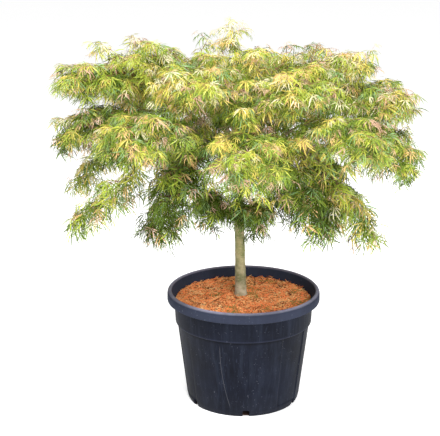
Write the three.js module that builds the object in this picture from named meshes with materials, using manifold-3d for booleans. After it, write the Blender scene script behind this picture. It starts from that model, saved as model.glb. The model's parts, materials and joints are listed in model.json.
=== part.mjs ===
// A cut-leaved Japanese maple, grafted high on a straight stem, in a round nursery pot.
// Its boughs leave the head of the trunk in whorls, arch over and weep, and each one
// ends in a mass of twigs and finely lobed leaves that hang round an open space.
// Millimetres, +Z up. The origin is the middle of the pot's flat underside, and
// azimuths turn from +X (the tree's right) through +Y (its back).

import * as THREE from 'three';
import { mergeVertices } from 'three/addons/utils/BufferGeometryUtils.js';
import Module from 'manifold-3d';

// ---------------------------------------------------------------- dimensions

const GAP = 0.3; // clear space between touching pieces
const SEAT = 0.4; // how far a bough's root stands off a faceted bearer's corners, to clear its flats

// Pot: a tapered tub with a collar, a thick rounded lip and shallow upright panels.
const POT_HEIGHT = 425;
const LIP_RADIUS = 282.5;
const LIP_DEPTH = 40;
const MOUTH_RADIUS = 266;
const COLLAR_RADIUS = 257;
const COLLAR_FOOT = 303;
const WALL_TOP_RADIUS = 245.5;
const WALL_FOOT_RADIUS = 211;
const WALL_FOOT = 24;
const BASE_RADIUS = 203;
const WALL = 5;
const PANELS = 12; // alternately proud and sunk
const PANEL_COLUMNS = 3; // facets across one panel
const PANEL_SINK = 3;
const FACET_SLACK = 1; // how near a point lies to the wall's cone to be one of its own
const DRAINS = 6; // notches through the foot
const DRAIN_TURN = 2; // degrees, from straight ahead to the first notch
const DRAIN_WIDTH = 22;
const DRAIN_HEIGHT = 19;
const DRAIN_DEPTH = 16;

// Mulch: it fills the pot to a little under the lip, with a flat crown at the trunk.
const MULCH_EDGE = 384;
const MULCH_CROWN = 393;
const MULCH_CROWN_RADIUS = 80;

// Trunk: straight, with a slight lean, a root flare and a swollen graft under its tip.
const TRUNK_FOOT = new THREE.Vector3(-9, 24, MULCH_CROWN + GAP);
const TRUNK_TIP = new THREE.Vector3(-24, 14, 985);
const TRUNK_SIDES = 12;
const TRUNK_WIDEST = 20; // radius that twigs and leaves keep clear of
const TRUNK_PROFILE = [ // share of the height, radius
  [0, 25], [0.02, 22.6], [0.07, 20.8], [0.17, 19.6], [0.35, 18.3], [0.6, 17],
  [0.78, 17], [0.88, 19], [0.95, 17.5], [1, 12],
];

// Boughs and stems.
const BOUGH_SIDES = 5;
const BOUGH_STEPS = 6;
const BOUGH_ROOT_RADIUS = 8;
const SIDE_ROOT_RADIUS = 5.5; // where a bough springs from another bough
const BOUGH_TIP_RADIUS = 3.4;
const BOUGH_LEAST = 60; // the shortest bough, from its bearer's axis
const BOW = 0.4; // how far the curve keeps to its end directions, as a share of its span

// Masses.
const MASS_RADIUS = 240; // the ball that a mass keeps inside
const TIP_INSET = 0.47; // how far back from the stem's tip the ball's middle lies, in radii
const STEM_STEPS = 4;
const STEM_RADIUS = 3;
const STEM_TIP_RADIUS = 2;
const TWIGS = { crown: 5, shoulder: 5, skirt: 4, inner: 2 }; // on one stem, by tier
const TWIG_SIDES = 3;
const TWIG_STEPS = 2;
const TWIG_RADIUS = 2.1;
const TWIG_TIP_RADIUS = 1.5;
const TWIG_FIRST = 0.16; // shares of the stem at which the first and last twigs leave it
const TWIG_LAST = 0.92;
const TWIG_LENGTHS = { crown: 165, shoulder: 165, skirt: 125, inner: 80 };
const TWIG_SHORTENING = 0.3; // how much shorter a twig at the stem's tip is
const TWIG_VARIATION = 0.3; // spread of the lengths, as a share
const TWIG_SPREAD = 55; // degrees from the stem
const TWIG_SPREAD_VARIATION = 16;
const TWIG_TURN = 137.5; // degrees round the stem from one twig to the next
const TWIG_DROOP = 0.4; // how much a twig turns down at each step
const TRIES = [1, 0.75, 0.5]; // a twig or leaf that doesn't fit is tried smaller
const CLEARANCE = 1.5; // between a twig or leaf and a limb, or the edge of its space

// Leaves: five drooping lobes from one middle, thick enough there to hold together.
const LEAF_LENGTH = 135;
const LEAF_THICKNESS = 5;
const LEAF_STALK = 20; // from the twig's axis to the middle of the leaf
const LEAF_SUNK = 3.5; // how far the stalk runs on through the twig's axis
const LEAF_NOTCH = 0.19; // radius of the notches between lobes, as a share of the length
const LEAF_DROOP = 0.22; // how far a lobe's tip sinks, as a share of its length
const LOBES = [[-92, 0.62], [-45, 0.88], [0, 1], [45, 0.88], [92, 0.62]]; // degrees, share of length
const LEAF_LEAST = 0.6; // the smallest leaf, as a share of the length
const LEAF_SWING = 1.2; // radians of chance about the upright
const LEAF_ROLL = 0.8; // radians of chance about its own line
const STEM_LEAF_DOWN = -0.25; // how far leaves turn down, at the stem's tip, a twig's tip and its joint
const TIP_LEAF_DOWN = 0.3;
const SIDE_LEAF_DOWN = 0.45;
const SIDE_LEAF_TURN = 70; // degrees aside, left and right by turns

// Where each mass's stem ends: azimuth, reach and height of its tip; the angles above
// the level at which its bough sets out, and below the level at which its tip arrives;
// and what it springs from: the trunk, at a height, or a named bough, at a share of it.
const TRUNK = 'trunk';
const MASS_ROWS = [
  // Crown: steep boughs from the trunk's tip.
  ['crown_top', 165, 35, 1322, 84, -80, TRUNK, 978],
  ['crown_right', 4, 350, 1265, 60, 6, TRUNK, 954],
  ['crown_back_right', 62, 370, 1205, 64, 10, TRUNK, 926],
  ['crown_back_left', 120, 380, 1185, 62, 10, TRUNK, 956],
  ['crown_left', 178, 365, 1285, 66, 6, TRUNK, 928],
  ['crown_front_left', 240, 350, 1240, 62, 12, TRUNK, 956],
  ['crown_front_right', 300, 350, 1230, 64, 12, TRUNK, 930],
  // Shoulders: the main boughs, arching out and over.
  ['shoulder_right', 2, 520, 1130, 44, 34, TRUNK, 896],
  ['shoulder_back_right', 45, 550, 1085, 42, 38, TRUNK, 850],
  ['shoulder_back', 92, 525, 1090, 44, 38, TRUNK, 894],
  ['shoulder_back_left', 137, 560, 1105, 44, 36, TRUNK, 856],
  ['shoulder_left', 180, 580, 1215, 46, 18, TRUNK, 898],
  ['shoulder_front_left', 226, 555, 1070, 44, 38, TRUNK, 848],
  ['shoulder_front', 271, 545, 1010, 44, 46, TRUNK, 892],
  ['shoulder_front_right', 316, 550, 1060, 42, 38, TRUNK, 852],
  // Lower shoulders: side boughs at the left and right, a layer down.
  ['shoulder_right_low', 354, 545, 940, -5, 66, 'shoulder_right', 0.8],
  ['shoulder_left_low', 184, 590, 1030, -5, 44, 'shoulder_left', 0.8],
  // Skirts: side boughs that weep below the shoulders.
  ['skirt_right_low', 337, 460, 725, -10, 52, 'shoulder_front_right', 0.75],
  ['skirt_back_right', 28, 400, 760, -5, 68, 'shoulder_back_right', 0.6],
  ['skirt_back', 68, 470, 640, -5, 72, 'shoulder_back', 0.75],
  ['skirt_back_left', 122, 505, 760, -5, 72, 'shoulder_back_left', 0.6],
  ['skirt_left_back', 168, 590, 845, -5, 45, 'shoulder_back_left', 0.85],
  ['skirt_left_low', 197, 575, 770, -5, 36, 'shoulder_front_left', 0.8],
  ['skirt_front_left', 225, 395, 775, -10, 74, 'shoulder_front_left', 0.55],
  ['skirt_front_right', 318, 340, 765, -10, 74, 'shoulder_front_right', 0.5],
  // Inner tufts: short shoots that hang close beside the trunk.
  ['inner_left', 207, 115, 765, 10, 60, TRUNK, 800],
  ['inner_right', 300, 70, 740, 10, 66, TRUNK, 806],
];
const MASSES = MASS_ROWS.map(([name, azimuth, reach, height, rise, fall, from, at]) => (
  { name, azimuth, reach, height, rise, fall, from, at }));

const COLOURS = {
  pot: { color: 0x2b303c, roughness: 0.55 },
  mulch: { color: 0xb4572c, roughness: 0.95 },
  bark: { color: 0x7f8450, roughness: 0.85 },
  bough: { color: 0x5d4a38, roughness: 0.85 },
  crown: { color: 0xb5a93a, roughness: 0.6 },
  shoulder: { color: 0x8fa040, roughness: 0.6 },
  skirt: { color: 0x5f8138, roughness: 0.6 },
  inner: { color: 0x4a6a2e, roughness: 0.6 },
};

// ------------------------------------------------------------------- helpers

const UP = new THREE.Vector3(0, 0, 1);
const radians = THREE.MathUtils.degToRad;
const wasm = await Module();
wasm.setup();

// The same stream of numbers from 0 to 1 for the same seed.
function seededRandom(seed) {
  let state = (seed * 2654435761 + 12345) >>> 0;
  return () => {
    state = (Math.imul(state, 1664525) + 1013904223) >>> 0;
    return state / 4294967296;
  };
}

function outward(azimuth) {
  return new THREE.Vector3(Math.cos(radians(azimuth)), Math.sin(radians(azimuth)), 0);
}

// A geometry's vertices, merged where they meet, as a solid that can be joined and cut.
function toSolid(geometry) {
  const bare = new THREE.BufferGeometry();
  bare.setAttribute('position', geometry.getAttribute('position'));
  bare.setIndex(geometry.index);
  const merged = mergeVertices(bare, 1e-3);
  return new wasm.Manifold(new wasm.Mesh({
    numProp: 3,
    vertProperties: merged.attributes.position.array,
    triVerts: new Uint32Array(merged.index.array),
  }));
}

function toGeometry(solid) {
  const made = solid.getMesh();
  const geometry = new THREE.BufferGeometry();
  geometry.setAttribute('position', new THREE.BufferAttribute(made.vertProperties, made.numProp));
  geometry.setIndex(new THREE.BufferAttribute(made.triVerts, 1));
  return geometry;
}

function geometryOf(vertices, faces) {
  const geometry = new THREE.BufferGeometry().setFromPoints(vertices);
  geometry.setIndex(faces.flat());
  return geometry;
}

// A closed tapering tube. Its path bends in one plane, and side is that plane's normal.
// Its two ends face along the headings given, or along the path's first and last steps.
function taperedTube(path, radii, sides, side, headings = {}) {
  const vertices = [];
  path.forEach((point, i) => {
    const before = path[Math.max(i - 1, 0)];
    const after = path[Math.min(i + 1, path.length - 1)];
    const tangent = headings[i] ?? after.clone().sub(before).normalize();
    const across = tangent.clone().cross(side);
    for (let k = 0; k < sides; k += 1) {
      const turn = (2 * Math.PI * k) / sides;
      vertices.push(point.clone()
        .addScaledVector(side, radii[i] * Math.cos(turn))
        .addScaledVector(across, radii[i] * Math.sin(turn)));
    }
  });
  const faces = [];
  for (let i = 0; i + 1 < path.length; i += 1) {
    for (let k = 0; k < sides; k += 1) {
      const a = i * sides + k;
      const b = i * sides + ((k + 1) % sides);
      faces.push([a, b, a + sides], [b, b + sides, a + sides]);
    }
  }
  const last = (path.length - 1) * sides;
  for (let k = 1; k + 1 < sides; k += 1) {
    faces.push([0, k + 1, k], [last, last + k, last + k + 1]);
  }
  return geometryOf(vertices, faces);
}

// The shortest distance between segments a-b and c-d.
function segmentDistance(a, b, c, d) {
  const u = b.clone().sub(a);
  const v = d.clone().sub(c);
  const w = a.clone().sub(c);
  const uu = u.dot(u);
  const uv = u.dot(v);
  const vv = v.dot(v);
  const det = uu * vv - uv * uv;
  let s = det > 1e-9 ? (uv * v.dot(w) - vv * u.dot(w)) / det : 0;
  s = THREE.MathUtils.clamp(s, 0, 1);
  const t = THREE.MathUtils.clamp((uv * s + v.dot(w)) / vv, 0, 1);
  s = THREE.MathUtils.clamp((uv * t - u.dot(w)) / uu, 0, 1);
  return w.addScaledVector(u, s).addScaledVector(v, -t).length();
}

// ----------------------------------------------------------------------- pot

const POT_FACETS = PANELS * PANEL_COLUMNS;

// Turns a profile of [radius, height] about the pot's axis.
function turned(profile, facets) {
  const points = profile.map(([radius, height]) => new THREE.Vector2(radius, height));
  return new THREE.LatheGeometry(points, facets).rotateX(Math.PI / 2);
}

// Sinks every second panel of the wall between the foot and the collar.
function sinkPanels(geometry) {
  const position = geometry.getAttribute('position');
  const point = new THREE.Vector3();
  for (let i = 0; i < position.count; i += 1) {
    point.fromBufferAttribute(position, i);
    const radius = Math.hypot(point.x, point.y);
    const share = (point.z - WALL_FOOT) / (COLLAR_FOOT - WALL_FOOT);
    const wall = THREE.MathUtils.lerp(WALL_FOOT_RADIUS, WALL_TOP_RADIUS, share);
    if (share < 0 || share > 1 || Math.abs(radius - wall) > FACET_SLACK) continue;
    const facet = Math.round((Math.atan2(point.y, point.x) / (2 * Math.PI)) * POT_FACETS + POT_FACETS);
    const sunk = Math.floor((facet % POT_FACETS) / PANEL_COLUMNS) % 2 === 0;
    if (sunk) position.setXY(i, point.x * (1 - PANEL_SINK / radius), point.y * (1 - PANEL_SINK / radius));
  }
  return geometry;
}

// The space inside the pot, from the floor up, as a profile that stands off the wall.
function insideProfile(clear) {
  return [
    [BASE_RADIUS - WALL - clear, WALL + clear],
    [WALL_FOOT_RADIUS - WALL - PANEL_SINK - clear, WALL_FOOT],
    [WALL_TOP_RADIUS - WALL - PANEL_SINK - clear, COLLAR_FOOT - WALL],
    [COLLAR_RADIUS - 2 * WALL - clear, COLLAR_FOOT + WALL],
  ];
}

function pot() {
  const lipFoot = POT_HEIGHT - LIP_DEPTH;
  const outside = [
    [0, 0],
    [BASE_RADIUS, 0],
    [WALL_FOOT_RADIUS, WALL_FOOT],
    [WALL_TOP_RADIUS, COLLAR_FOOT],
    [COLLAR_RADIUS - 5, COLLAR_FOOT],
    [COLLAR_RADIUS, lipFoot],
    [LIP_RADIUS - 4, lipFoot],
    [LIP_RADIUS, lipFoot + 5],
    [LIP_RADIUS, POT_HEIGHT - 13],
    [LIP_RADIUS - 3, POT_HEIGHT - 4],
    [LIP_RADIUS - 9, POT_HEIGHT],
    [MOUTH_RADIUS + 2, POT_HEIGHT - 2],
    [MOUTH_RADIUS, POT_HEIGHT - 8],
    [COLLAR_RADIUS - WALL, lipFoot + 5],
  ];
  const profile = [...outside, ...insideProfile(0).reverse(), [0, WALL]];
  let solid = toSolid(sinkPanels(turned(profile, POT_FACETS)));
  for (let i = 0; i < DRAINS; i += 1) {
    const box = new THREE.BoxGeometry(DRAIN_DEPTH, DRAIN_WIDTH, DRAIN_HEIGHT * 2);
    box.translate(BASE_RADIUS, 0, 0);
    box.rotateZ(radians(270 + DRAIN_TURN + (360 * i) / DRAINS));
    solid = solid.subtract(toSolid(box));
  }
  return toGeometry(solid);
}

function mulch() {
  const profile = [
    [0, WALL + GAP],
    ...insideProfile(GAP),
    [COLLAR_RADIUS - 2 * WALL + 4, MULCH_EDGE],
    [MULCH_CROWN_RADIUS, MULCH_CROWN],
    [0, MULCH_CROWN],
  ];
  return toGeometry(toSolid(turned(profile, POT_FACETS)));
}

// --------------------------------------------------------------------- trunk

function trunkPoint(height) {
  return TRUNK_FOOT.clone().lerp(TRUNK_TIP, (height - TRUNK_FOOT.z) / (TRUNK_TIP.z - TRUNK_FOOT.z));
}

// The trunk, or a copy of it grown all over by a margin. Its rings stay level as it leans.
function trunk(margin = 0) {
  const profile = TRUNK_PROFILE.map(([share, radius]) => [
    radius + margin, THREE.MathUtils.lerp(TRUNK_FOOT.z - margin, TRUNK_TIP.z + margin, share)]);
  const ends = [[0, profile[0][1]], ...profile, [0, TRUNK_TIP.z + margin]];
  const geometry = turned(ends, TRUNK_SIDES);
  const position = geometry.getAttribute('position');
  for (let i = 0; i < position.count; i += 1) {
    const axis = trunkPoint(position.getZ(i));
    position.setXY(i, position.getX(i) + axis.x, position.getY(i) + axis.y);
  }
  return toGeometry(toSolid(geometry));
}

// --------------------------------------------------------------------- limbs

// One curve carries a bough and, past the bough's end, the stem of its mass.
function limbCurve(mass, root) {
  const tip = outward(mass.azimuth).multiplyScalar(mass.reach).setZ(mass.height);
  const span = tip.distanceTo(root);
  const ahead = tip.clone().sub(root).setZ(0).normalize();
  const side = UP.clone().cross(ahead);
  const heading = (angle) => ahead.clone().multiplyScalar(Math.cos(radians(angle)))
    .addScaledVector(UP, Math.sin(radians(angle)));
  const curve = new THREE.CubicBezierCurve3(
    root,
    root.clone().addScaledVector(heading(mass.rise), BOW * span),
    tip.clone().addScaledVector(heading(-mass.fall), -BOW * span),
    tip,
  );
  return { curve, side, length: curve.getLength() };
}

// The middle of a mass's ball: a point on its stem, set back from the tip.
function massMiddle({ curve, length }) {
  return curve.getPointAt(Math.max(0, 1 - (TIP_INSET * MASS_RADIUS) / length));
}

// Is a point in the mass's ball, and nearer its middle than any other mass's?
function inSpace(limb, point) {
  const own = point.distanceTo(limb.middle);
  if (own > MASS_RADIUS - CLEARANCE) return false;
  return limbs.every((other) => {
    if (other === limb) return true;
    const apart = other.middle.distanceTo(limb.middle);
    const margin = (point.distanceToSquared(other.middle) - own * own) / (2 * apart);
    return margin > CLEARANCE;
  });
}

// The share of the curve at which it enters its mass for good.
function entryShare(limb) {
  const steps = 200;
  for (let i = steps; i > 0; i -= 1) {
    if (!inSpace(limb, limb.curve.getPointAt(i / steps))) return (i + 1) / steps;
  }
  return 1 / steps;
}

function stretch(limb, from, to, steps) {
  return Array.from({ length: steps + 1 }, (_, i) => (
    limb.curve.getPointAt(from + ((to - from) * i) / steps)));
}

function headingsOf(limb, from, to, steps) {
  return { 0: limb.curve.getTangentAt(from), [steps]: limb.curve.getTangentAt(to) };
}

function taper(from, to, steps) {
  return Array.from({ length: steps + 1 }, (_, i) => THREE.MathUtils.lerp(from, to, i / steps));
}

// Every limb, parents first, so that a side bough can root on its parent's curve.
const limbs = [];
for (const mass of MASSES) {
  const parent = limbs.find(({ name }) => name === mass.from);
  const root = parent
    ? parent.curve.getPointAt(mass.at * parent.boughGuess)
    : trunkPoint(mass.at);
  const limb = { ...mass, parent, ...limbCurve(mass, root) };
  limb.middle = massMiddle(limb);
  limb.boughGuess = 1 - (1 + TIP_INSET) * (MASS_RADIUS / limb.length);
  limb.rootRadius = parent ? SIDE_ROOT_RADIUS : BOUGH_ROOT_RADIUS;
  limbs.push(limb);
}
for (const limb of limbs) {
  limb.entry = Math.max(entryShare(limb), BOUGH_LEAST / limb.length);
  limb.path = stretch(limb, 0, limb.entry, BOUGH_STEPS);
  limb.headings = headingsOf(limb, 0, limb.entry, BOUGH_STEPS);
  limb.radii = taper(limb.rootRadius, BOUGH_TIP_RADIUS, BOUGH_STEPS);
}

// A bough, grown all over by a margin.
function boughTube({ path, radii, side, headings }, margin = 0) {
  return toSolid(taperedTube(path, radii.map((r) => r + margin), BOUGH_SIDES, side, headings));
}

// A bough, with its root cut to sit against the trunk or the bough that bears it.
function bough(limb) {
  const bearer = limb.parent ? boughTube(limb.parent, SEAT) : toSolid(trunk(SEAT));
  const pieces = boughTube(limb).subtract(bearer).decompose();
  pieces.sort((a, b) => b.volume() - a.volume());
  return toGeometry(pieces[0]);
}

// The trunk and boughs as rods, for telling whether a twig or leaf would touch one.
const rods = limbs.flatMap(({ path, radii }) => (
  path.slice(1).map((end, i) => ({ start: path[i], end, radius: radii[i] }))));
rods.push({ start: TRUNK_FOOT, end: TRUNK_TIP, radius: TRUNK_WIDEST });

function clearOfLimbs(start, end, radius) {
  return rods.every((rod) => (
    segmentDistance(start, end, rod.start, rod.end) > rod.radius + radius + CLEARANCE));
}

// -------------------------------------------------------------------- masses

// A twig's path: it sets out along a heading and turns down a little at each step.
function twigPath(start, heading, length) {
  const path = [start];
  const ahead = heading.clone();
  for (let i = 0; i < TWIG_STEPS; i += 1) {
    path.push(path[i].clone().addScaledVector(ahead, length / TWIG_STEPS));
    ahead.addScaledVector(UP, -TWIG_DROOP).normalize();
  }
  return path;
}

function twigFits(limb, path, radius) {
  return path.slice(1).every((point, i) => (
    inSpace(limb, point) && clearOfLimbs(path[i], point, radius)));
}

// A leaf: its stalk's root, its lobes' tips and the notches between them, round a middle.
function leafShape(root, ahead, side, length) {
  const normal = ahead.clone().cross(side).normalize();
  const middle = root.clone().addScaledVector(ahead, LEAF_STALK);
  const at = (angle, distance, sink) => middle.clone()
    .addScaledVector(ahead, Math.cos(radians(angle)) * distance)
    .addScaledVector(side, Math.sin(radians(angle)) * distance)
    .addScaledVector(UP, -sink);
  const outline = [at(180, LEAF_STALK + LEAF_SUNK, 0)];
  LOBES.forEach(([angle, share], i) => {
    const reach = share * (length - LEAF_STALK);
    outline.push(at(angle, reach, LEAF_DROOP * reach));
    const next = LOBES[i + 1];
    if (next) outline.push(at((angle + next[0]) / 2, LEAF_NOTCH * length, 0));
  });
  const half = LEAF_THICKNESS / 2;
  const faces = [middle.clone().addScaledVector(normal, half), middle.clone().addScaledVector(normal, -half)];
  return { outline, faces, middle };
}

function leafGeometry({ outline, faces }) {
  const count = outline.length;
  const triangles = [];
  for (let i = 0; i < count; i += 1) {
    const next = (i + 1) % count;
    triangles.push([count, i, next], [count + 1, next, i]);
  }
  return geometryOf([...outline, ...faces], triangles);
}

function leafFits(limb, { outline, middle }) {
  const tips = outline.filter((_, i) => i % 2 === 1);
  return outline.every((point) => inSpace(limb, point))
    && tips.every((tip) => clearOfLimbs(middle, tip, LEAF_THICKNESS));
}

// Hangs one leaf at a point, looking out along a heading and turned down by the share given.
function hangLeaf(limb, root, heading, down, random) {
  for (const share of TRIES) {
    const swing = (random() - 0.5) * LEAF_SWING;
    const ahead = heading.clone().applyAxisAngle(UP, swing).addScaledVector(UP, -down).normalize();
    const level = UP.clone().cross(ahead).normalize();
    const side = level.applyAxisAngle(ahead, (random() - 0.5) * LEAF_ROLL);
    const leaf = leafShape(root, ahead, side, LEAF_LENGTH * THREE.MathUtils.lerp(LEAF_LEAST, 1, share));
    if (leafFits(limb, leaf)) return toSolid(leafGeometry(leaf));
  }
  return null;
}

// The point at a share of a path of even steps.
function alongPath(path, share) {
  const where = share * (path.length - 1);
  const step = Math.min(Math.floor(where), path.length - 2);
  return path[step].clone().lerp(path[step + 1], where - step);
}

// The tier that a mass belongs to is the first word of its name.
function tierOf({ name }) {
  return name.split('_')[0];
}

// A mass: a stem that runs on from its bough, side twigs that leave it left and right
// by turns, and a leaf at the tip and at the last joint of each.
function mass(limb, seed) {
  const random = seededRandom(seed);
  const start = limb.entry + GAP / limb.length;
  const stem = stretch(limb, start, 1, STEM_STEPS);
  const stemRadii = taper(STEM_RADIUS, STEM_TIP_RADIUS, STEM_STEPS);
  const stemEnds = headingsOf(limb, start, 1, STEM_STEPS);
  const parts = [toSolid(taperedTube(stem, stemRadii, TWIG_SIDES, limb.side, stemEnds))];
  const add = (solid) => { if (solid) parts.push(solid); };
  const stemHeading = limb.curve.getTangentAt(1);
  add(hangLeaf(limb, stem[STEM_STEPS], stemHeading, STEM_LEAF_DOWN, random));
  const twigs = TWIGS[tierOf(limb)];
  for (let i = 0; i < twigs; i += 1) {
    const share = THREE.MathUtils.lerp(TWIG_FIRST, TWIG_LAST, i / (twigs - 1));
    const root = alongPath(stem, share);
    const tangent = limb.curve.getTangentAt(THREE.MathUtils.lerp(start, 1, share));
    const spread = radians(TWIG_SPREAD + TWIG_SPREAD_VARIATION * (random() - 0.5));
    const heading = tangent.clone().applyAxisAngle(limb.side, spread)
      .applyAxisAngle(tangent, radians(90 + TWIG_TURN * i));
    const length = TWIG_LENGTHS[tierOf(limb)] * (1 - TWIG_SHORTENING * share)
      * (1 + TWIG_VARIATION * (random() - 0.5));
    const size = TRIES.find((part) => (
      twigFits(limb, twigPath(root, heading, length * part), TWIG_RADIUS)));
    if (!size) continue;
    const path = twigPath(root, heading, length * size);
    const level = UP.clone().cross(heading).normalize();
    const radii = taper(TWIG_RADIUS, TWIG_TIP_RADIUS, TWIG_STEPS);
    parts.push(toSolid(taperedTube(path, radii, TWIG_SIDES, level)));
    const ahead = path[TWIG_STEPS].clone().sub(path[TWIG_STEPS - 1]).normalize();
    add(hangLeaf(limb, path[TWIG_STEPS], ahead, TIP_LEAF_DOWN, random));
    const away = ahead.clone().applyAxisAngle(UP, radians(i % 2 ? SIDE_LEAF_TURN : -SIDE_LEAF_TURN));
    add(hangLeaf(limb, path[TWIG_STEPS - 1], away, SIDE_LEAF_DOWN, random));
  }
  return toGeometry(wasm.Manifold.union(parts));
}

// ------------------------------------------------------------------ the tree

const group = new THREE.Group();

function add(name, geometry, finish) {
  const material = new THREE.MeshStandardMaterial({ ...COLOURS[finish], metalness: 0, flatShading: true });
  const mesh = new THREE.Mesh(geometry, material);
  mesh.name = name;
  group.add(mesh);
}

add('pot', pot(), 'pot');
add('mulch', mulch(), 'mulch');
add('trunk', trunk(), 'bark');
limbs.forEach((limb, i) => {
  add(`bough_${limb.name}`, bough(limb), 'bough');
  add(`foliage_${limb.name}`, mass(limb, i + 1), tierOf(limb));
});

export default group;
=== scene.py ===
# %% [markdown]
# # A weeping cut-leaved maple in a nursery pot
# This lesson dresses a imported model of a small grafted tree. The frame holds the plain solids:
# pot, mulch, trunk, boughs and masses of foliage. Each of them is replaced here by a piece with
# real surfaces: turned and bevelled plastic, loose bark chips, ringed bark, and thousands of
# finely cut leaves that hang from a branching of twigs.


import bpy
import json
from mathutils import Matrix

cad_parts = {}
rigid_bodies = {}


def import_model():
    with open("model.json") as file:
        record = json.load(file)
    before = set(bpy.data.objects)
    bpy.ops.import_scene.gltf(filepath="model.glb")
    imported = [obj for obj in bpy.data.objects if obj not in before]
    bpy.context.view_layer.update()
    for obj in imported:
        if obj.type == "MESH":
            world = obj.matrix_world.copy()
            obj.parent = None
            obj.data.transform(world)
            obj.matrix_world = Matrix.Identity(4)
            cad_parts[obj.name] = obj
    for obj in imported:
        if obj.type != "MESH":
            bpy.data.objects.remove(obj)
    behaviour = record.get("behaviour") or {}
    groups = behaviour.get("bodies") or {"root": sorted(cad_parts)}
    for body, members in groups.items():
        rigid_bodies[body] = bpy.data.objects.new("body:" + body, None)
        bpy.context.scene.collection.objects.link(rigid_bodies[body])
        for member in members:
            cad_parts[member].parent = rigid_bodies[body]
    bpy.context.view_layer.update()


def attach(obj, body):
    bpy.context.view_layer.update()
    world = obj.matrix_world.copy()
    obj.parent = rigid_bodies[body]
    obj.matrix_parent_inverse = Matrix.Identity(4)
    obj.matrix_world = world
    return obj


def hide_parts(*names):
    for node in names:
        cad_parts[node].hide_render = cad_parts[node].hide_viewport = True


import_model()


# %% [markdown]
# ## Small tools
# Edit operators act on all that is selected, so every step clears the selection or selects its
# own piece first. Each finished piece goes through one function, which names it, gives it its
# finish, says what body it belongs to, and puts it in place of its solids.


# %% Tools
import json
import math
from collections import namedtuple

import bpy
import numpy as np
from mathutils import Vector, noise

MM = 0.001
BODY = "root"
UP = np.array([0.0, 0.0, 1.0])


def clear_selection():
    """Leaves nothing selected, in object mode."""
    if bpy.context.object and bpy.context.object.mode != "OBJECT":
        bpy.ops.object.mode_set(mode="OBJECT")
    bpy.ops.object.select_all(action="DESELECT")


def select_only(*pieces):
    clear_selection()
    for piece in pieces:
        piece.select_set(True)
    bpy.context.view_layer.objects.active = pieces[0]


def apply_modifier(piece, kind, title, **settings):
    """Adds one modifier with its settings, and makes its result the piece's own mesh."""
    select_only(piece)
    modifier = piece.modifiers.new(title, kind)
    for key, setting in settings.items():
        setattr(modifier, key, setting)
    bpy.ops.object.modifier_apply(modifier=modifier.name)


def triangles(piece):
    return sum(len(face.vertices) - 2 for face in piece.data.polygons)


def settle(piece, name, material, slot, *nodes):
    """Names a finished piece, gives it its finish and puts it in place of its solids."""
    piece.name = name
    piece.data.name = name
    piece.data.materials.clear()
    piece.data.materials.append(material)
    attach(piece, BODY)
    if nodes:
        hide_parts(*nodes)
    print(f"{name}: {triangles(piece)} triangles")
    return piece


# %% [markdown]
# ## Shader maths
# A finish is a small tree of nodes. Writing it as arithmetic keeps it readable: a wrapped socket
# can be added, multiplied and clipped like a number, and each expression adds its own Math node.
# Every other node comes from one method that takes its type, its settings and its inputs.


# %% Values
class Value:
    """A socket's number, for use in Python expressions."""

    def __init__(self, finish, socket):
        self.finish = finish
        self.socket = socket

    def math(self, operation, first, second=None, clamp=False):
        inputs = {0: first} if second is None else {0: first, 1: second}
        settings = {"operation": operation, "use_clamp": clamp}
        return self.finish.node("Math", settings, inputs).value()

    def __add__(self, other):
        return self.math("ADD", self, other)

    def __radd__(self, other):
        return self.math("ADD", other, self)

    def __sub__(self, other):
        return self.math("SUBTRACT", self, other)

    def __rsub__(self, other):
        return self.math("SUBTRACT", other, self)

    def __mul__(self, other):
        return self.math("MULTIPLY", self, other)

    def __rmul__(self, other):
        return self.math("MULTIPLY", other, self)

    def __pow__(self, other):
        return self.math("POWER", self, other)

    def clipped(self):
        return self.math("ADD", self, 0.0, clamp=True)

    def between(self, low, high):
        """0 below low, 1 above high, and a straight ramp between them."""
        return ((self - low) * (1 / (high - low))).clipped()

    def band(self, rise, fall):
        """1 between two ramps, one up and one down, and 0 outside them."""
        return self.between(*rise) * (1 - self.between(*fall))


class Node:
    """A node whose outputs come out as values."""

    def __init__(self, finish, made):
        self.finish = finish
        self.made = made

    def value(self, output=0):
        return Value(self.finish, self.made.outputs[output])


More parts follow.
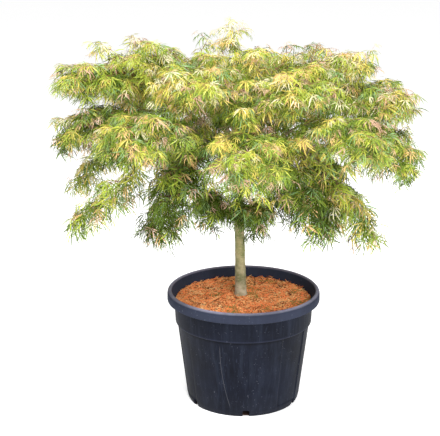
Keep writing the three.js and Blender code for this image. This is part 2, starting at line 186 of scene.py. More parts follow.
# %% Finishes
class Finish:
    """A Principled material that grows as its methods are called."""

    def __init__(self, name, colour, roughness=0.6, specular=0.5):
        self.material = bpy.data.materials.new(name)
        self.material.use_nodes = True
        self.tree = self.material.node_tree
        self.shader = self.tree.nodes["Principled BSDF"]
        self.shader.inputs["Base Color"].default_value = (*colour, 1.0)
        self.shader.inputs["Roughness"].default_value = roughness
        self.shader.inputs["Specular IOR Level"].default_value = specular

    def node(self, kind, settings=None, inputs=None):
        made = self.tree.nodes.new("ShaderNode" + kind)
        for key, setting in (settings or {}).items():
            setattr(made, key, setting)
        for key, given in (inputs or {}).items():
            self.feed(made.inputs[key], given)
        return Node(self, made)

    def feed(self, socket, given):
        if isinstance(given, Value):
            self.tree.links.new(given.socket, socket)
        else:
            socket.default_value = given

    def place(self, stretch=(1.0, 1.0, 1.0)):
        """Object coordinates in metres, stretched along each axis."""
        where = self.node("TexCoord").value("Object")
        return self.node("Mapping", {}, {"Vector": where, "Scale": stretch}).value()

    def noise(self, scale, detail=3.0, rough=0.6, stretch=(1.0, 1.0, 1.0)):
        inputs = {"Vector": self.place(stretch), "Scale": scale, "Detail": detail, "Roughness": rough}
        return self.node("TexNoise", {}, inputs).value("Fac")

    def axes(self):
        """A place's X, Y and Z, in metres."""
        split = self.node("SeparateXYZ", {}, {0: self.place()})
        return [split.value(axis) for axis in "XYZ"]

    def blend(self, amount, first, second):
        """A mix of two colours, each a triple or a value."""
        inputs = {"Factor": amount, 6: self.rgba(first), 7: self.rgba(second)}
        return self.node("Mix", {"data_type": "RGBA"}, inputs).value(2)

    def coats(self, under, *coats):
        """Colours laid one over another; each coat is its amount and its six-digit code."""
        for amount, code in coats:
            under = self.blend(amount, under, linear(code))
        return under

    @staticmethod
    def rgba(colour):
        return colour if isinstance(colour, Value) else (*colour, 1.0)

    def relief(self, height, distance, strength=1.0):
        inputs = {"Height": height, "Distance": distance, "Strength": strength}
        self.feed(self.shader.inputs["Normal"], self.node("Bump", {}, inputs).value())

    def colour(self, given):
        self.feed(self.shader.inputs["Base Color"], given)

    def roughness(self, given):
        self.feed(self.shader.inputs["Roughness"], given)


def linear(code):
    """A colour as shaders count it, from its usual six-digit code."""
    shares = [int(code[i:i + 2], 16) / 255 for i in (0, 2, 4)]
    return tuple(s / 12.92 if s <= 0.04045 else ((s + 0.055) / 1.055) ** 2.4 for s in shares)


print("half grey as shaders count it:", round(linear("808080")[0], 3))


# %% [markdown]
# ## Studio
# The pot stands on a wide pale floor under an even white sky, as in a plant catalogue. The sky
# alone would leave the crown flat, so a soft lamp high in front models it, a wide low one fills in
# under it, and a third keeps its back from going dull. The floor glows a little, which keeps it
# white without a lamp of its own. The camera stands four and a half metres off and looks down.


# %% Studio
FLOOR_SIZE = 80.0
FLOOR_GLOW = 0.5
CAMERA_PLACE = (-0.087, -4.5, 1.985)
CAMERA_DOWN = 16
FRAME_WIDTH = 440
FOCAL_PIXELS = 1283
SENSOR = 36.0
CLIP_END = 200
SKY_STRENGTH = 0.52
LAMPS = (  # place, size in metres, watts, what it is turned to
    (Vector((-0.5, -1.9, 4.6)), 1.3, 246, Vector((0, 0, 0.9))),
    (Vector((1.5, -4.7, 2.0)), 2.2, 168, Vector((0, 0, 0.55))),
    (Vector((1.6, 3.6, 3.2)), 2.4, 90, Vector((0, 0, 0.9))),
)

clear_selection()
bpy.ops.mesh.primitive_plane_add(size=FLOOR_SIZE)
floor = bpy.context.object
floor.name = "floor"
pale = Finish("pale floor", (0.9, 0.9, 0.9), roughness=0.9, specular=0.2)
pale.shader.inputs["Emission Color"].default_value = (1, 1, 1, 1)
pale.shader.inputs["Emission Strength"].default_value = FLOOR_GLOW
floor.data.materials.append(pale.material)

scene = bpy.context.scene
scene.world = bpy.data.worlds.new("white sky")
scene.world.use_nodes = True
sky = scene.world.node_tree.nodes["Background"]
sky.inputs["Color"].default_value = (1, 1, 1, 1)
sky.inputs["Strength"].default_value = SKY_STRENGTH
scene.view_settings.view_transform = "Standard"

for place, size, watts, aim in LAMPS:
    bpy.ops.object.light_add(type="AREA", location=place)
    lamp = bpy.context.object
    lamp.data.size = size
    lamp.data.energy = watts
    lamp.rotation_euler = (aim - place).to_track_quat("-Z", "Y").to_euler()

turn = (math.radians(90 - CAMERA_DOWN), 0, 0)
bpy.ops.object.camera_add(location=CAMERA_PLACE, rotation=turn)
scene.camera = bpy.context.object
scene.camera.data.sensor_width = SENSOR
scene.camera.data.lens = FOCAL_PIXELS / FRAME_WIDTH * SENSOR
scene.camera.data.clip_end = CLIP_END
print("lamps:", len(LAMPS), "lens:", round(scene.camera.data.lens, 1), "mm")


# %% [markdown]
# ## Pot
# A nursery pot is injection moulded: a tapered tub with a stepped collar, a thick rolled lip and
# shallow upright panels, alternately proud and sunk, that stiffen the wall. It could be lofted
# from rings, but a turned shape is quickest to spin: one vertex is extruded along half of its
# section, and the line is spun about the axis. Every other panel is then inset.


# %% Pot
POT_STEPS = 144
PANELS = 12
PANEL_SINK = 3 * MM
PANEL_SLOPE = 3.5 * MM
PANEL_EDGE = 274.5  # azimuth of one panel's edge
WALL_FOOT, COLLAR_FOOT = 24 * MM, 303 * MM
POT_SECTION = [  # radius and height in mm, up the outside, over the lip and down the inside
    (0, 0), (201, 0), (203, 1), (207.5, 9), (211, 24), (245.5, 303), (250.5, 303), (252.5, 305.5),
    (257, 384), (257, 385), (279, 385), (281.6, 386.6), (282.5, 390), (282.5, 409),
    (281.7, 415), (279.5, 420), (276, 423.6), (271.6, 425), (268.4, 423.8), (266.4, 420),
    (265.6, 415), (252.4, 390), (247, 308), (237.5, 298), (203, 24), (198, 5), (0, 5),
]


def pull_section(section, azimuth):
    """One vertex pulled along a section, in the upright plane at an azimuth."""
    clear_selection()
    out = Vector((math.cos(math.radians(azimuth)), math.sin(math.radians(azimuth)), 0))
    points = [out * radius * MM + Vector((0, 0, height * MM)) for radius, height in section]
    bpy.ops.mesh.primitive_plane_add(size=MM, location=points[0])
    bpy.ops.object.transform_apply()
    bpy.ops.object.mode_set(mode="EDIT")
    bpy.ops.mesh.select_mode(type="VERT")
    bpy.ops.mesh.select_all(action="SELECT")
    bpy.ops.mesh.merge(type="CENTER")
    for before, after in zip(points, points[1:]):
        bpy.ops.mesh.extrude_region_move(TRANSFORM_OT_translate={"value": after - before})
    bpy.ops.object.mode_set(mode="OBJECT")
    return bpy.context.object


def spin_section(section, steps, azimuth):
    """A closed solid, turned about the pot's axis."""
    made = pull_section(section, azimuth)
    bpy.ops.object.mode_set(mode="EDIT")
    bpy.ops.mesh.select_all(action="SELECT")
    bpy.ops.mesh.spin(steps=steps, angle=2 * math.pi, center=(0, 0, 0), axis=(0, 0, 1))
    bpy.ops.mesh.select_all(action="SELECT")
    bpy.ops.mesh.remove_doubles(threshold=MM / 100)
    bpy.ops.mesh.normals_make_consistent(inside=False)
    bpy.ops.object.mode_set(mode="OBJECT")
    return made


def select_faces(piece, wanted):
    """Selects the faces whose middle and normal pass a test, and no others."""
    bpy.ops.object.mode_set(mode="EDIT")
    bpy.ops.mesh.select_mode(type="FACE")
    bpy.ops.mesh.select_all(action="DESELECT")
    bpy.ops.object.mode_set(mode="OBJECT")
    for face in piece.data.polygons:
        face.select = wanted(face.center, face.normal)
    bpy.ops.object.mode_set(mode="EDIT")


def on_sunk_panel(middle, normal):
    outside = normal.x * middle.x + normal.y * middle.y > 0
    azimuth = math.degrees(math.atan2(middle.y, middle.x)) - PANEL_EDGE
    sunk = int(azimuth % 360 // (360 / PANELS)) % 2 == 1
    return outside and sunk and WALL_FOOT < middle.z < COLLAR_FOOT - MM


pot = spin_section(POT_SECTION, POT_STEPS, PANEL_EDGE)
select_faces(pot, on_sunk_panel)
bpy.ops.mesh.inset(thickness=PANEL_SLOPE, depth=-PANEL_SINK)
bpy.ops.object.mode_set(mode="OBJECT")
print("pot:", triangles(pot), "triangles as turned")


# %% [markdown]
# ## Drain notches
# Water leaves by notches where the wall meets the floor, so that the pot also drains when it
# stands on flat ground. Real ones are left by lugs of the mould. Here one block with soft edges is
# set at each place, all are joined, and the pot is cut with them at once. A narrow bevel
# then breaks every hard edge, as the mould's own small radii do.


# %% Drain notches
NOTCHES = 6
NOTCH_SIZE = Vector((22, 25, 50)) * MM
NOTCH_RADIUS = 205 * MM
NOTCH_TURN = 272
NOTCH_CORNER = 4 * MM
EDGE_WIDTH = 0.8 * MM
SMOOTH_ANGLE = math.radians(32)

clear_selection()
notches = []
for i in range(NOTCHES):
    angle = math.radians(NOTCH_TURN + 360 * i / NOTCHES)
    place = Vector((math.cos(angle), math.sin(angle), 0)) * NOTCH_RADIUS
    bpy.ops.mesh.primitive_cube_add(size=1, location=place, rotation=(0, 0, angle), scale=NOTCH_SIZE)
    bpy.ops.object.transform_apply()
    bpy.ops.object.mode_set(mode="EDIT")
    bpy.ops.mesh.select_all(action="SELECT")
    bpy.ops.mesh.bevel(offset=NOTCH_CORNER, segments=3)
    bpy.ops.object.mode_set(mode="OBJECT")
    notches.append(bpy.context.object)
select_only(*notches)
bpy.ops.object.join()
cutter = bpy.context.object
apply_modifier(pot, "BOOLEAN", "drain notches", object=cutter)
bpy.data.objects.remove(cutter)
apply_modifier(pot, "BEVEL", "soft edges", width=EDGE_WIDTH, segments=2, angle_limit=SMOOTH_ANGLE)
bpy.ops.object.shade_smooth_by_angle(angle=SMOOTH_ANGLE)
print("notches:", NOTCHES, "pot:", triangles(pot), "triangles")


# %% [markdown]
# ## Pot plastic
# The plastic is dyed blue-black and has a fine matt grain. A season outdoors has left pale dust
# on the lip's side and the foot, specks of splashed soil, fine upright rubs and one long curved
# scrape. A painted highlight runs along the lip's crown and along the collar's lower edge, and a
# painted shadow lies on the wall under the collar. Each is a mask laid over the one before it, as
# coats of paint are. They could be painted on an image, but masks made of noise and of heights
# stay sharp at any distance.


# %% Pot plastic
DUSTY_FOOT = (0, 100 * MM)  # heights from which and to which a mark fades in or out
LIP_SIDE = (384 * MM, 388 * MM)
LIP_CROWN_HIGHLIGHT = (417 * MM, 423.5 * MM)
COLLAR_EDGE_HIGHLIGHT = ((303.2 * MM, 304.5 * MM), (307 * MM, 311 * MM))
UNDER_COLLAR_SHADOW = ((288 * MM, 301 * MM), (302.8 * MM, 303.4 * MM))
NOTCH_TOP = (26 * MM, 28 * MM)
NOTCH_WALL = (198.5 * MM, 200.5 * MM)  # distances from the axis
SCRAPE_ENDS = ((30 * MM, 50 * MM), (270 * MM, 285 * MM))
SCRAPE_EDGE = (0.2 * MM, 1 * MM)
SCRAPE_FRONT = (100 * MM, 120 * MM)
SCRAPE_X, SCRAPE_TOP, SCRAPE_CURVE = -88 * MM, 285 * MM, 0.62  # a parabola, seen from in front

plastic = Finish("pot plastic", linear("191c29"), roughness=0.55, specular=0.07)
x, y, z = plastic.axes()
cloudy = plastic.noise(6, detail=4)
patchy = plastic.noise(14, detail=2)
rubs = plastic.noise(60, detail=3, stretch=(1, 1, 0.06))
fine_rubs = plastic.noise(240, detail=2, stretch=(1, 1, 0.04))
specks = plastic.noise(170, detail=1).between(0.7, 0.74) * patchy.between(0.45, 0.6)
lip_side = z.between(*LIP_SIDE)
scrape_line = x - SCRAPE_X - SCRAPE_CURVE * (SCRAPE_TOP - z) * (SCRAPE_TOP - z)
scrape = (1 - scrape_line.math("ABSOLUTE", scrape_line).between(*SCRAPE_EDGE)) * z.band(*SCRAPE_ENDS)
in_front = (0 - y).between(*SCRAPE_FRONT)
off_axis = (x * x + y * y) ** 0.5
in_notch = (1 - off_axis.between(*NOTCH_WALL)) * (1 - z.between(*NOTCH_TOP))

plastic.colour(plastic.coats(
    plastic.blend(cloudy.between(0.35, 0.65), linear("0b0e17"), linear("161a26")),
    (rubs.between(0.48, 0.74) * 0.5, "262c3a"),
    (fine_rubs.between(0.62, 0.75) * 0.5, "303546"),
    ((1 - z.between(*DUSTY_FOOT)) * (0.2 + 0.5 * patchy) * 0.4, "35373f"),
    (lip_side * (0.4 + 0.4 * cloudy), "3a3f50"),
    # painted highlight: a pale line along the lip's rounded crown
    (z.between(*LIP_CROWN_HIGHLIGHT) * (0.3 + 0.6 * rubs), "9896a8"),
    # painted highlight: a lighter band on the collar's rounded lower edge
    (z.band(*COLLAR_EDGE_HIGHLIGHT) * 0.45, "2c3041"),
    # painted shadow: a near-black band on the wall just under the proud collar
    (z.band(*UNDER_COLLAR_SHADOW) * 0.85, "06070c"),
    (specks * 0.35, "7f8390"),
    (scrape * in_front * 0.26, "8a8b92"),
    (in_notch * (0.3 + 0.7 * patchy), "49362b"),
))
plastic.roughness(0.5 + 0.16 * cloudy + 0.2 * lip_side)
plastic.relief(plastic.noise(900, detail=2), 0.25 * MM, 0.5)
settle(pot, "pot_shell", plastic.material, "pot", "pot")


# %% [markdown]
# ## How the tree grows
# The same rule as in the solids: a table that says where the stem of each mass ends and what it
# springs from, and one smooth curve that carries a bough and then, past the bough's end, the stem
# of its mass. The curves could be read back from the solids' triangles, but a copy of the rule is
# exact. It keeps every new twig on the limb that bears it, and inside the ball that its mass fills.
# The table is in degrees and mm. A curve rises at its root and falls at its tip by so many degrees,
# and its root is at a height on the trunk or at a share of another bough.


# %% Limb table
TRUNK_FOOT = np.array([-9.0, 24.0, 393.3]) * MM
TRUNK_TIP = np.array([-24.0, 14.0, 985.0]) * MM
TRUNK = "trunk"
MASS_ROWS = [  # name, its tip's azimuth, reach and height, rise, fall, bearer, and where on that
    ("crown_top", 165, 35, 1322, 84, -80, TRUNK, 978),
    ("crown_right", 4, 350, 1265, 60, 6, TRUNK, 954),
    ("crown_back_right", 62, 370, 1205, 64, 10, TRUNK, 926),
    ("crown_back_left", 120, 380, 1185, 62, 10, TRUNK, 956),
    ("crown_left", 178, 365, 1285, 66, 6, TRUNK, 928),
    ("crown_front_left", 240, 350, 1240, 62, 12, TRUNK, 956),
    ("crown_front_right", 300, 350, 1230, 64, 12, TRUNK, 930),
    ("shoulder_right", 2, 520, 1130, 44, 34, TRUNK, 896),
    ("shoulder_back_right", 45, 550, 1085, 42, 38, TRUNK, 850),
    ("shoulder_back", 92, 525, 1090, 44, 38, TRUNK, 894),
    ("shoulder_back_left", 137, 560, 1105, 44, 36, TRUNK, 856),
    ("shoulder_left", 180, 580, 1215, 46, 18, TRUNK, 898),
    ("shoulder_front_left", 226, 555, 1070, 44, 38, TRUNK, 848),
    ("shoulder_front", 271, 545, 1010, 44, 46, TRUNK, 892),
    ("shoulder_front_right", 316, 550, 1060, 42, 38, TRUNK, 852),
    ("shoulder_right_low", 354, 545, 940, -5, 66, "shoulder_right", 0.8),
    ("shoulder_left_low", 184, 590, 1030, -5, 44, "shoulder_left", 0.8),
    ("skirt_right_low", 337, 460, 725, -10, 52, "shoulder_front_right", 0.75),
    ("skirt_back_right", 28, 400, 760, -5, 68, "shoulder_back_right", 0.6),
    ("skirt_back", 68, 470, 640, -5, 72, "shoulder_back", 0.75),
    ("skirt_back_left", 122, 505, 760, -5, 72, "shoulder_back_left", 0.6),
    ("skirt_left_back", 168, 590, 845, -5, 45, "shoulder_back_left", 0.85),
    ("skirt_left_low", 197, 575, 770, -5, 36, "shoulder_front_left", 0.8),
    ("skirt_front_left", 225, 395, 775, -10, 74, "shoulder_front_left", 0.55),
    ("skirt_front_right", 318, 340, 765, -10, 74, "shoulder_front_right", 0.5),
    ("inner_left", 207, 115, 765, 10, 60, TRUNK, 800),
    ("inner_right", 300, 70, 740, 10, 66, TRUNK, 806),
]
OPEN_SKIRTS = ("skirt_left_back", "skirt_left_low", "skirt_right_low")  # thin enough to see through
print("masses:", len(MASS_ROWS), "of which", len(OPEN_SKIRTS), "are open")


# %% Limb curve
BOW = 0.4  # how far a curve's handles reach, as a share of its span
MASS_RADIUS = 240 * MM
TIP_INSET = 0.47  # of that radius, from a stem's tip back to its mass's middle
CURVE_DIVISIONS = 200
DIVISIONS = np.linspace(0, 1, CURVE_DIVISIONS + 1)
NUDGE = 1e-6  # added where a cross product or a level direction might have no length


def unit(vector):
    return vector / np.linalg.norm(vector)


def turned(vector, axis, degrees):
    """A vector turned about an axis, by the right-hand rule."""
    angle = math.radians(degrees)
    along = axis * (axis @ vector) * (1 - math.cos(angle))
    return vector * math.cos(angle) + np.cross(axis, vector) * math.sin(angle) + along


def trunk_point(height):
    share = (height - TRUNK_FOOT[2]) / (TRUNK_TIP[2] - TRUNK_FOOT[2])
    return TRUNK_FOOT + (TRUNK_TIP - TRUNK_FOOT) * share


class Limb:
    """The curve of one bough and of the stem that runs on from it."""

    def __init__(self, row, parent):
        self.name, azimuth, reach, height, rise, fall, _, at = row
        self.tier = "open" if self.name in OPEN_SKIRTS else self.name.split("_")[0]
        self.parent = parent
        root = parent.point(at * parent.bough_guess) if parent else trunk_point(at * MM)
        angle = math.radians(azimuth)
        tip = np.array([math.cos(angle) * reach, math.sin(angle) * reach, height]) * MM
        span = np.linalg.norm(tip - root)
        ahead = unit((tip - root) * [1, 1, 0])
        side = np.cross(UP, ahead)
        start = turned(ahead, side, -rise)
        end = turned(ahead, side, fall)
        self.corners = np.array([root, root + start * BOW * span, tip - end * BOW * span, tip])
        steps = np.linalg.norm(np.diff(self.at(DIVISIONS), axis=0), axis=1)
        self.distances = np.concatenate([[0], np.cumsum(steps)])
        self.length = self.distances[-1]
        self.middle = self.point(max(0, 1 - TIP_INSET * MASS_RADIUS / self.length))
        self.bough_guess = 1 - (1 + TIP_INSET) * MASS_RADIUS / self.length

    def at(self, t):
        """The curve's point, or points, at its own parameter."""
        t = np.asarray(t, float)[..., None]
        a, b, c, d = self.corners
        return (1 - t)**3 * a + 3 * (1 - t)**2 * t * b + 3 * (1 - t) * t**2 * c + t**3 * d

    def parameter(self, share):
        return np.interp(np.asarray(share) * self.length, self.distances, DIVISIONS)

    def point(self, share):
        """The point, or points, at a share of the curve's length."""
        return self.at(self.parameter(share))

    def heading(self, share):
        step = 1e-4
        t = np.clip(self.parameter(share), step, 1 - step)
        return unit(self.at(t + step) - self.at(t - step))


limbs = []
for row in MASS_ROWS:
    parent = next((limb for limb in limbs if limb.name == row[6]), None)
    limbs.append(Limb(row, parent))
spans = [round(limb.length, 2) for limb in limbs]
print("limbs:", len(limbs), "from", min(spans), "to", max(spans), "m long")


# %% [markdown]
# ## Where stems start
# A mass fills the part of its ball that is nearer its own middle than any other's. Its stem starts
# where the curve enters that space for good, and up to there the curve is a bough.


# %% Where stems start
CLEARANCE = 1.5 * MM
BOUGH_LEAST = 60 * MM


def in_space(limb, points):
    """Are points in the limb's ball, and nearer its middle than any other mass's?"""
    own = np.linalg.norm(points - limb.middle, axis=-1)
    inside = own < MASS_RADIUS - CLEARANCE
    for other in limbs:
        if other is not limb:
            apart = np.linalg.norm(other.middle - limb.middle)
            away = np.linalg.norm(points - other.middle, axis=-1)
            inside &= (away**2 - own**2) / (2 * apart) > CLEARANCE
    return inside


for limb in limbs:
    shares = np.arange(1, CURVE_DIVISIONS + 1) / CURVE_DIVISIONS
    outside = np.flatnonzero(~in_space(limb, limb.point(shares)))
    entry = shares[outside[-1]] + 1 / CURVE_DIVISIONS if len(outside) else shares[0]
    limb.entry = max(entry, BOUGH_LEAST / limb.length)
entries = [round(limb.entry, 2) for limb in limbs]
print("stems start at", min(entries), "to", max(entries), "of their limbs")


# %% [markdown]
# ## How a bough is made
# A bough is one smooth curve that thins towards its tip and thickens at its root, where it grows
# out of its bearer. A cone could be bent by hand, but a Bezier curve with a round bevel gives just
# that: it is bent once by its two handles, subdivided, and given a radius at each of its points,
# then turned into a mesh.


# %% Bough tools
ROOT_RADIUS, SIDE_ROOT_RADIUS = 8 * MM, 5.5 * MM  # on the trunk, and on another bough
BOUGH_TIP_RADIUS = 3.4 * MM
STEM_TIP_RADIUS = 1.6 * MM
BOUGH_CUTS = 9
BOUGH_STEPS = 5  # of the curve, between two of its points
BOUGH_BEVEL = 3
ROOT_FLARE, ROOT_FLARE_REACH = 0.55, 26 * MM


def bough_radius(limb, distance):
    root = SIDE_ROOT_RADIUS if limb.parent else ROOT_RADIUS
    places = [0, limb.entry * limb.length, limb.length]
    plain = np.interp(distance, places, [root, BOUGH_TIP_RADIUS, STEM_TIP_RADIUS])
    return plain * (1 + ROOT_FLARE * np.exp(-(distance / ROOT_FLARE_REACH)**2))


def bough_mesh(limb, until, thinner=0.0):
    """A bough as far as a share of its curve; its skin may sink towards that end."""
    clear_selection()
    bpy.ops.curve.primitive_bezier_curve_add(location=(0, 0, 0))
    made = bpy.context.object
    first, last = made.data.splines[0].bezier_points
    a, b, c, d = (Vector(corner) for corner in limb.corners)
    for point, middle, left, right in ((first, a, 2 * a - b, b), (last, d, c, 2 * d - c)):
        point.handle_left_type = point.handle_right_type = "FREE"
        point.co, point.handle_left, point.handle_right = middle, left, right
    bpy.ops.object.mode_set(mode="EDIT")
    bpy.ops.curve.select_all(action="SELECT")
    bpy.ops.curve.subdivide(number_cuts=BOUGH_CUTS)
    bpy.ops.object.mode_set(mode="OBJECT")
    points = made.data.splines[0].bezier_points
    for i, point in enumerate(points):
        distance = np.interp(i / (len(points) - 1), DIVISIONS, limb.distances)
        sunk = thinner * min(1, distance / (until * limb.length))
        point.radius = (bough_radius(limb, distance) - sunk) / MM
    made.data.bevel_depth = MM
    made.data.bevel_resolution = BOUGH_BEVEL
    made.data.resolution_u = BOUGH_STEPS
    made.data.use_fill_caps = True
    made.data.bevel_factor_mapping_end = "SPLINE"
    made.data.bevel_factor_end = until
    bpy.ops.object.convert(target="MESH")
    return bpy.context.object


def press(piece, amount_at):
    """Moves each vertex along its normal by what a function of its place says."""
    places = [vertex.co.copy() for vertex in piece.data.vertices]
    normals = [vertex.normal.copy() for vertex in piece.data.vertices]
    moved = [place + normal * amount_at(place) for place, normal in zip(places, normals)]
    piece.data.vertices.foreach_set("co", np.array(moved).ravel())
    piece.data.update()


def join(parts):
    select_only(*parts)
    bpy.ops.object.join()
    return bpy.context.object


print("a bough's root:", round(bough_radius(limbs[1], 0) / MM, 1), "mm in radius with its flare")


# %% [markdown]
# ## Trunk
# The trunk is a young understock, as thick as a thumb, with a swollen graft near its head. A disc
# is extruded upwards ring by ring, with a little sway and unevenness. The roots of the boughs are
# then joined on. They could be cut in by a Boolean, but that leaves a crease: the whole is remeshed
# with small voxels instead, which grows the collars together as wood does.


# %% Trunk
TRUNK_PROFILE = [  # share of the height, radius in mm
    (0, 25), (0.02, 22.6), (0.07, 20.8), (0.17, 19.6), (0.35, 18.3), (0.6, 17),
    (0.78, 17), (0.88, 19), (0.95, 17.5), (1, 12),
]
TRUNK_SIDES = 28
TRUNK_RINGS = 44
TRUNK_SWAY, SWAY_RATE = 1.2 * MM, 7
UNEVENNESS, UNEVEN_RATE = 0.03, 16
TRUNK_VOXEL = 1.9 * MM
COLLAR_SMOOTHING = 5
FOOT_SPREAD = 2 * MM
SOIL_SINK = 14 * MM
STUB_REACH = 85 * MM  # how far each bough's root is joined to the trunk
STUB_THINNING = 1.1 * MM


def trunk_radius(share):
    shares, radii = zip(*TRUNK_PROFILE)
    return np.interp(share, shares, radii) * MM


clear_selection()
here, radius = TRUNK_FOOT - UP * SOIL_SINK, trunk_radius(0) + FOOT_SPREAD
bpy.ops.mesh.primitive_circle_add(vertices=TRUNK_SIDES, radius=radius, location=here, fill_type="NGON")
trunk = bpy.context.object
bpy.ops.object.transform_apply()
bpy.ops.object.mode_set(mode="EDIT")
bpy.ops.mesh.select_all(action="SELECT")
for ring in range(TRUNK_RINGS + 1):
    share = ring / TRUNK_RINGS
    swings = [noise.noise((start, 0, share * SWAY_RATE)) for start in (0, 9)]
    there = TRUNK_FOOT + (TRUNK_TIP - TRUNK_FOOT) * share + np.array([*swings, 0]) * TRUNK_SWAY
    wider = trunk_radius(share) * (1 + UNEVENNESS * noise.noise((5, 0, share * UNEVEN_RATE)))
    bpy.ops.mesh.extrude_region_move(TRANSFORM_OT_translate={"value": there - here})
    bpy.ops.transform.resize(value=(wider / radius,) * 3, center_override=there)
    here, radius = there, wider
bpy.ops.mesh.select_all(action="SELECT")
bpy.ops.mesh.normals_make_consistent(inside=False)
bpy.ops.object.mode_set(mode="OBJECT")

stubs = [bough_mesh(limb, STUB_REACH / limb.length, STUB_THINNING) for limb in limbs if not limb.parent]
trunk = join(stubs + [trunk])
apply_modifier(trunk, "REMESH", "grow together", mode="VOXEL", voxel_size=TRUNK_VOXEL)
apply_modifier(trunk, "SMOOTH", "round the collars", iterations=COLLAR_SMOOTHING)
print("trunk:", triangles(trunk), "triangles after remeshing")


# %% [markdown]
# ## Bark
# The young bark is smooth, with low level rings where shoots once stood, and fine ripples between
# them. It could all be bump in the finish, but a ring shows at the trunk's edge against the light,
# so rings and ripples are pressed into the skin, and only the grain is left to the finish.


# %% Bark relief
RING_SPACING, RING_VARIATION = 46 * MM, (0.6, 1.4)
RING_ENDS = (30 * MM, 40 * MM)  # no ring so near the trunk's foot and tip
RING_HEIGHT, RING_WIDTH = 1.1 * MM, 2.6 * MM
RING_TILT, TILT_RATES = 3 * MM, Vector((30, 30, 4))
RIPPLE_HEIGHT, RIPPLE_RATES = 0.5 * MM, Vector((90, 90, 420))
LUMP_HEIGHT, LUMP_RATES = 0.9 * MM, Vector((45, 45, 18))


def seeded_random(seed):
    """The same stream of numbers from 0 to 1 for the same seed."""
    state = (seed * 2654435761 + 12345) % 2**32
    while True:
        state = (state * 1664525 + 1013904223) % 2**32
        yield state / 2**32


def chosen(random, low, high):
    """A number between two limits."""
    return low + (high - low) * next(random)


ring_random = seeded_random(17)
ring_heights = []
height = TRUNK_FOOT[2] + RING_ENDS[0]
while height < TRUNK_TIP[2] - RING_ENDS[1]:
    ring_heights.append(height)
    height += RING_SPACING * chosen(ring_random, *RING_VARIATION)


def bark_relief(place):
    """How far the skin stands out at a place: the nearest ring, ripples and broad lumps."""
    tilt = RING_TILT * noise.noise(place * TILT_RATES)
    nearest = min(abs(place.z + tilt - ring) for ring in ring_heights)
    ring = RING_HEIGHT * math.exp(-(nearest / RING_WIDTH)**2)
    ripple = RIPPLE_HEIGHT * noise.noise(place * RIPPLE_RATES)
    return ring + ripple + LUMP_HEIGHT * noise.noise(place * LUMP_RATES)


press(trunk, bark_relief)
bpy.ops.object.shade_smooth()
print("rings:", len(ring_heights))


# %% [markdown]
# ## Bark finish
# The trunk is grey-green with algae, paler and greyer near the mulch, with light and dark level
# streaks that run with its rings. Broad noise deals the greens, and a noise squeezed in height
# streaks them, which needs no picture wrapped round the trunk and so shows no seam.


# %% Bark finish
FOOT_TONE_HEIGHT = 0.16

bark = Finish("trunk bark", linear("8f8761"), roughness=0.8)
_, _, z = bark.axes()
height_share = z.between(TRUNK_FOOT[2], TRUNK_FOOT[2] + FOOT_TONE_HEIGHT)
broad = bark.noise(26, detail=4)
level = bark.noise(70, detail=4, stretch=(1, 1, 7))
grain = bark.noise(420, detail=3)
green = bark.blend(broad.between(0.35, 0.65), linear("626d36"), linear("a3986c"))
foot_colour = bark.blend(broad.between(0.4, 0.6), linear("84805f"), linear("c4b9a0"))
streaks = (level.between(0.58, 0.72), "bfb591"), ((1 - level).between(0.6, 0.72), "5c533a")
bark.colour(bark.coats(bark.blend(height_share, foot_colour, green), *streaks))
bark.roughness(0.7 + 0.2 * grain)
bark.relief(0.6 * level + 0.4 * grain, 1 * MM, 0.8)
settle(trunk, "trunk_bark", bark.material, "bark", "trunk")


# %% [markdown]
# ## Boughs
# The boughs rise from the trunk, level off and then weep. Their bark is browner than the trunk's
# and a little lumpy. They could grow from one skeleton with a Skin modifier, but its branchings
# bulge, so each is modelled by the rule above, and all are joined, as no bough moves on its own.


# %% Boughs
BOUGH_OVERLAP = 0.01  # share of the curve by which a bough enters its stem
BOUGH_LUMPS, BOUGH_LUMP_RATE = 0.9 * MM, 70

boughs = join([bough_mesh(limb, limb.entry + BOUGH_OVERLAP) for limb in limbs])
press(boughs, lambda place: BOUGH_LUMPS * noise.noise(place * BOUGH_LUMP_RATE))
bpy.ops.object.shade_smooth()
bough_bark = Finish("bough bark", linear("77694c"), roughness=0.75)
patches = bough_bark.noise(35, detail=4)
fine = bough_bark.noise(260, detail=3, stretch=(1, 1, 2.5))
tone = (0.75 * patches + 0.35 * fine).between(0.4, 0.75)
bough_bark.colour(bough_bark.blend(tone, linear("54443a"), linear("938a63")))
bough_bark.relief(fine, 0.6 * MM)
settle(boughs, "boughs", bough_bark.material, "bough_bark", *[f"bough_{limb.name}" for limb in limbs])


# %% [markdown]
# ## Joined meshes
# Leaves and bits of bark are counted in thousands. Copied objects would do for a few hundred, but
# every copy of a small shape is just the same numbers turned by its own frame and moved to its own
# place, so here a whole tone of leaves is one product of arrays, and one mesh.


# %% Joined meshes
TUBE_SIDES = 3
NEARLY_UP = UP + 1e-3  # no shoot points quite this way


def joined_copies(shapes, which, frames, places):
    """Corners and triangles of many copies; row i of frames turns the chosen shape to place i."""
    all_corners, all_faces, count = [], [], 0
    for index, (corners, faces) in enumerate(shapes):
        mine = np.flatnonzero(which == index)
        if not len(mine):
            continue
        copies = np.einsum("vk,nkj->nvj", corners, frames[mine]) + places[mine][:, None, :]
        shift = count + len(corners) * np.arange(len(mine))
        all_corners.append(copies.reshape(-1, 3))
        all_faces.append((faces[None] + shift[:, None, None]).reshape(-1, faces.shape[1]))
        count += len(corners) * len(mine)
    return np.concatenate(all_corners), np.concatenate(all_faces)


def piece_from(name, corners, faces):
    mesh = bpy.data.meshes.new(name)
    mesh.from_pydata(corners, [], faces)
    piece = bpy.data.objects.new(name, mesh)
    bpy.context.collection.objects.link(piece)
    return piece


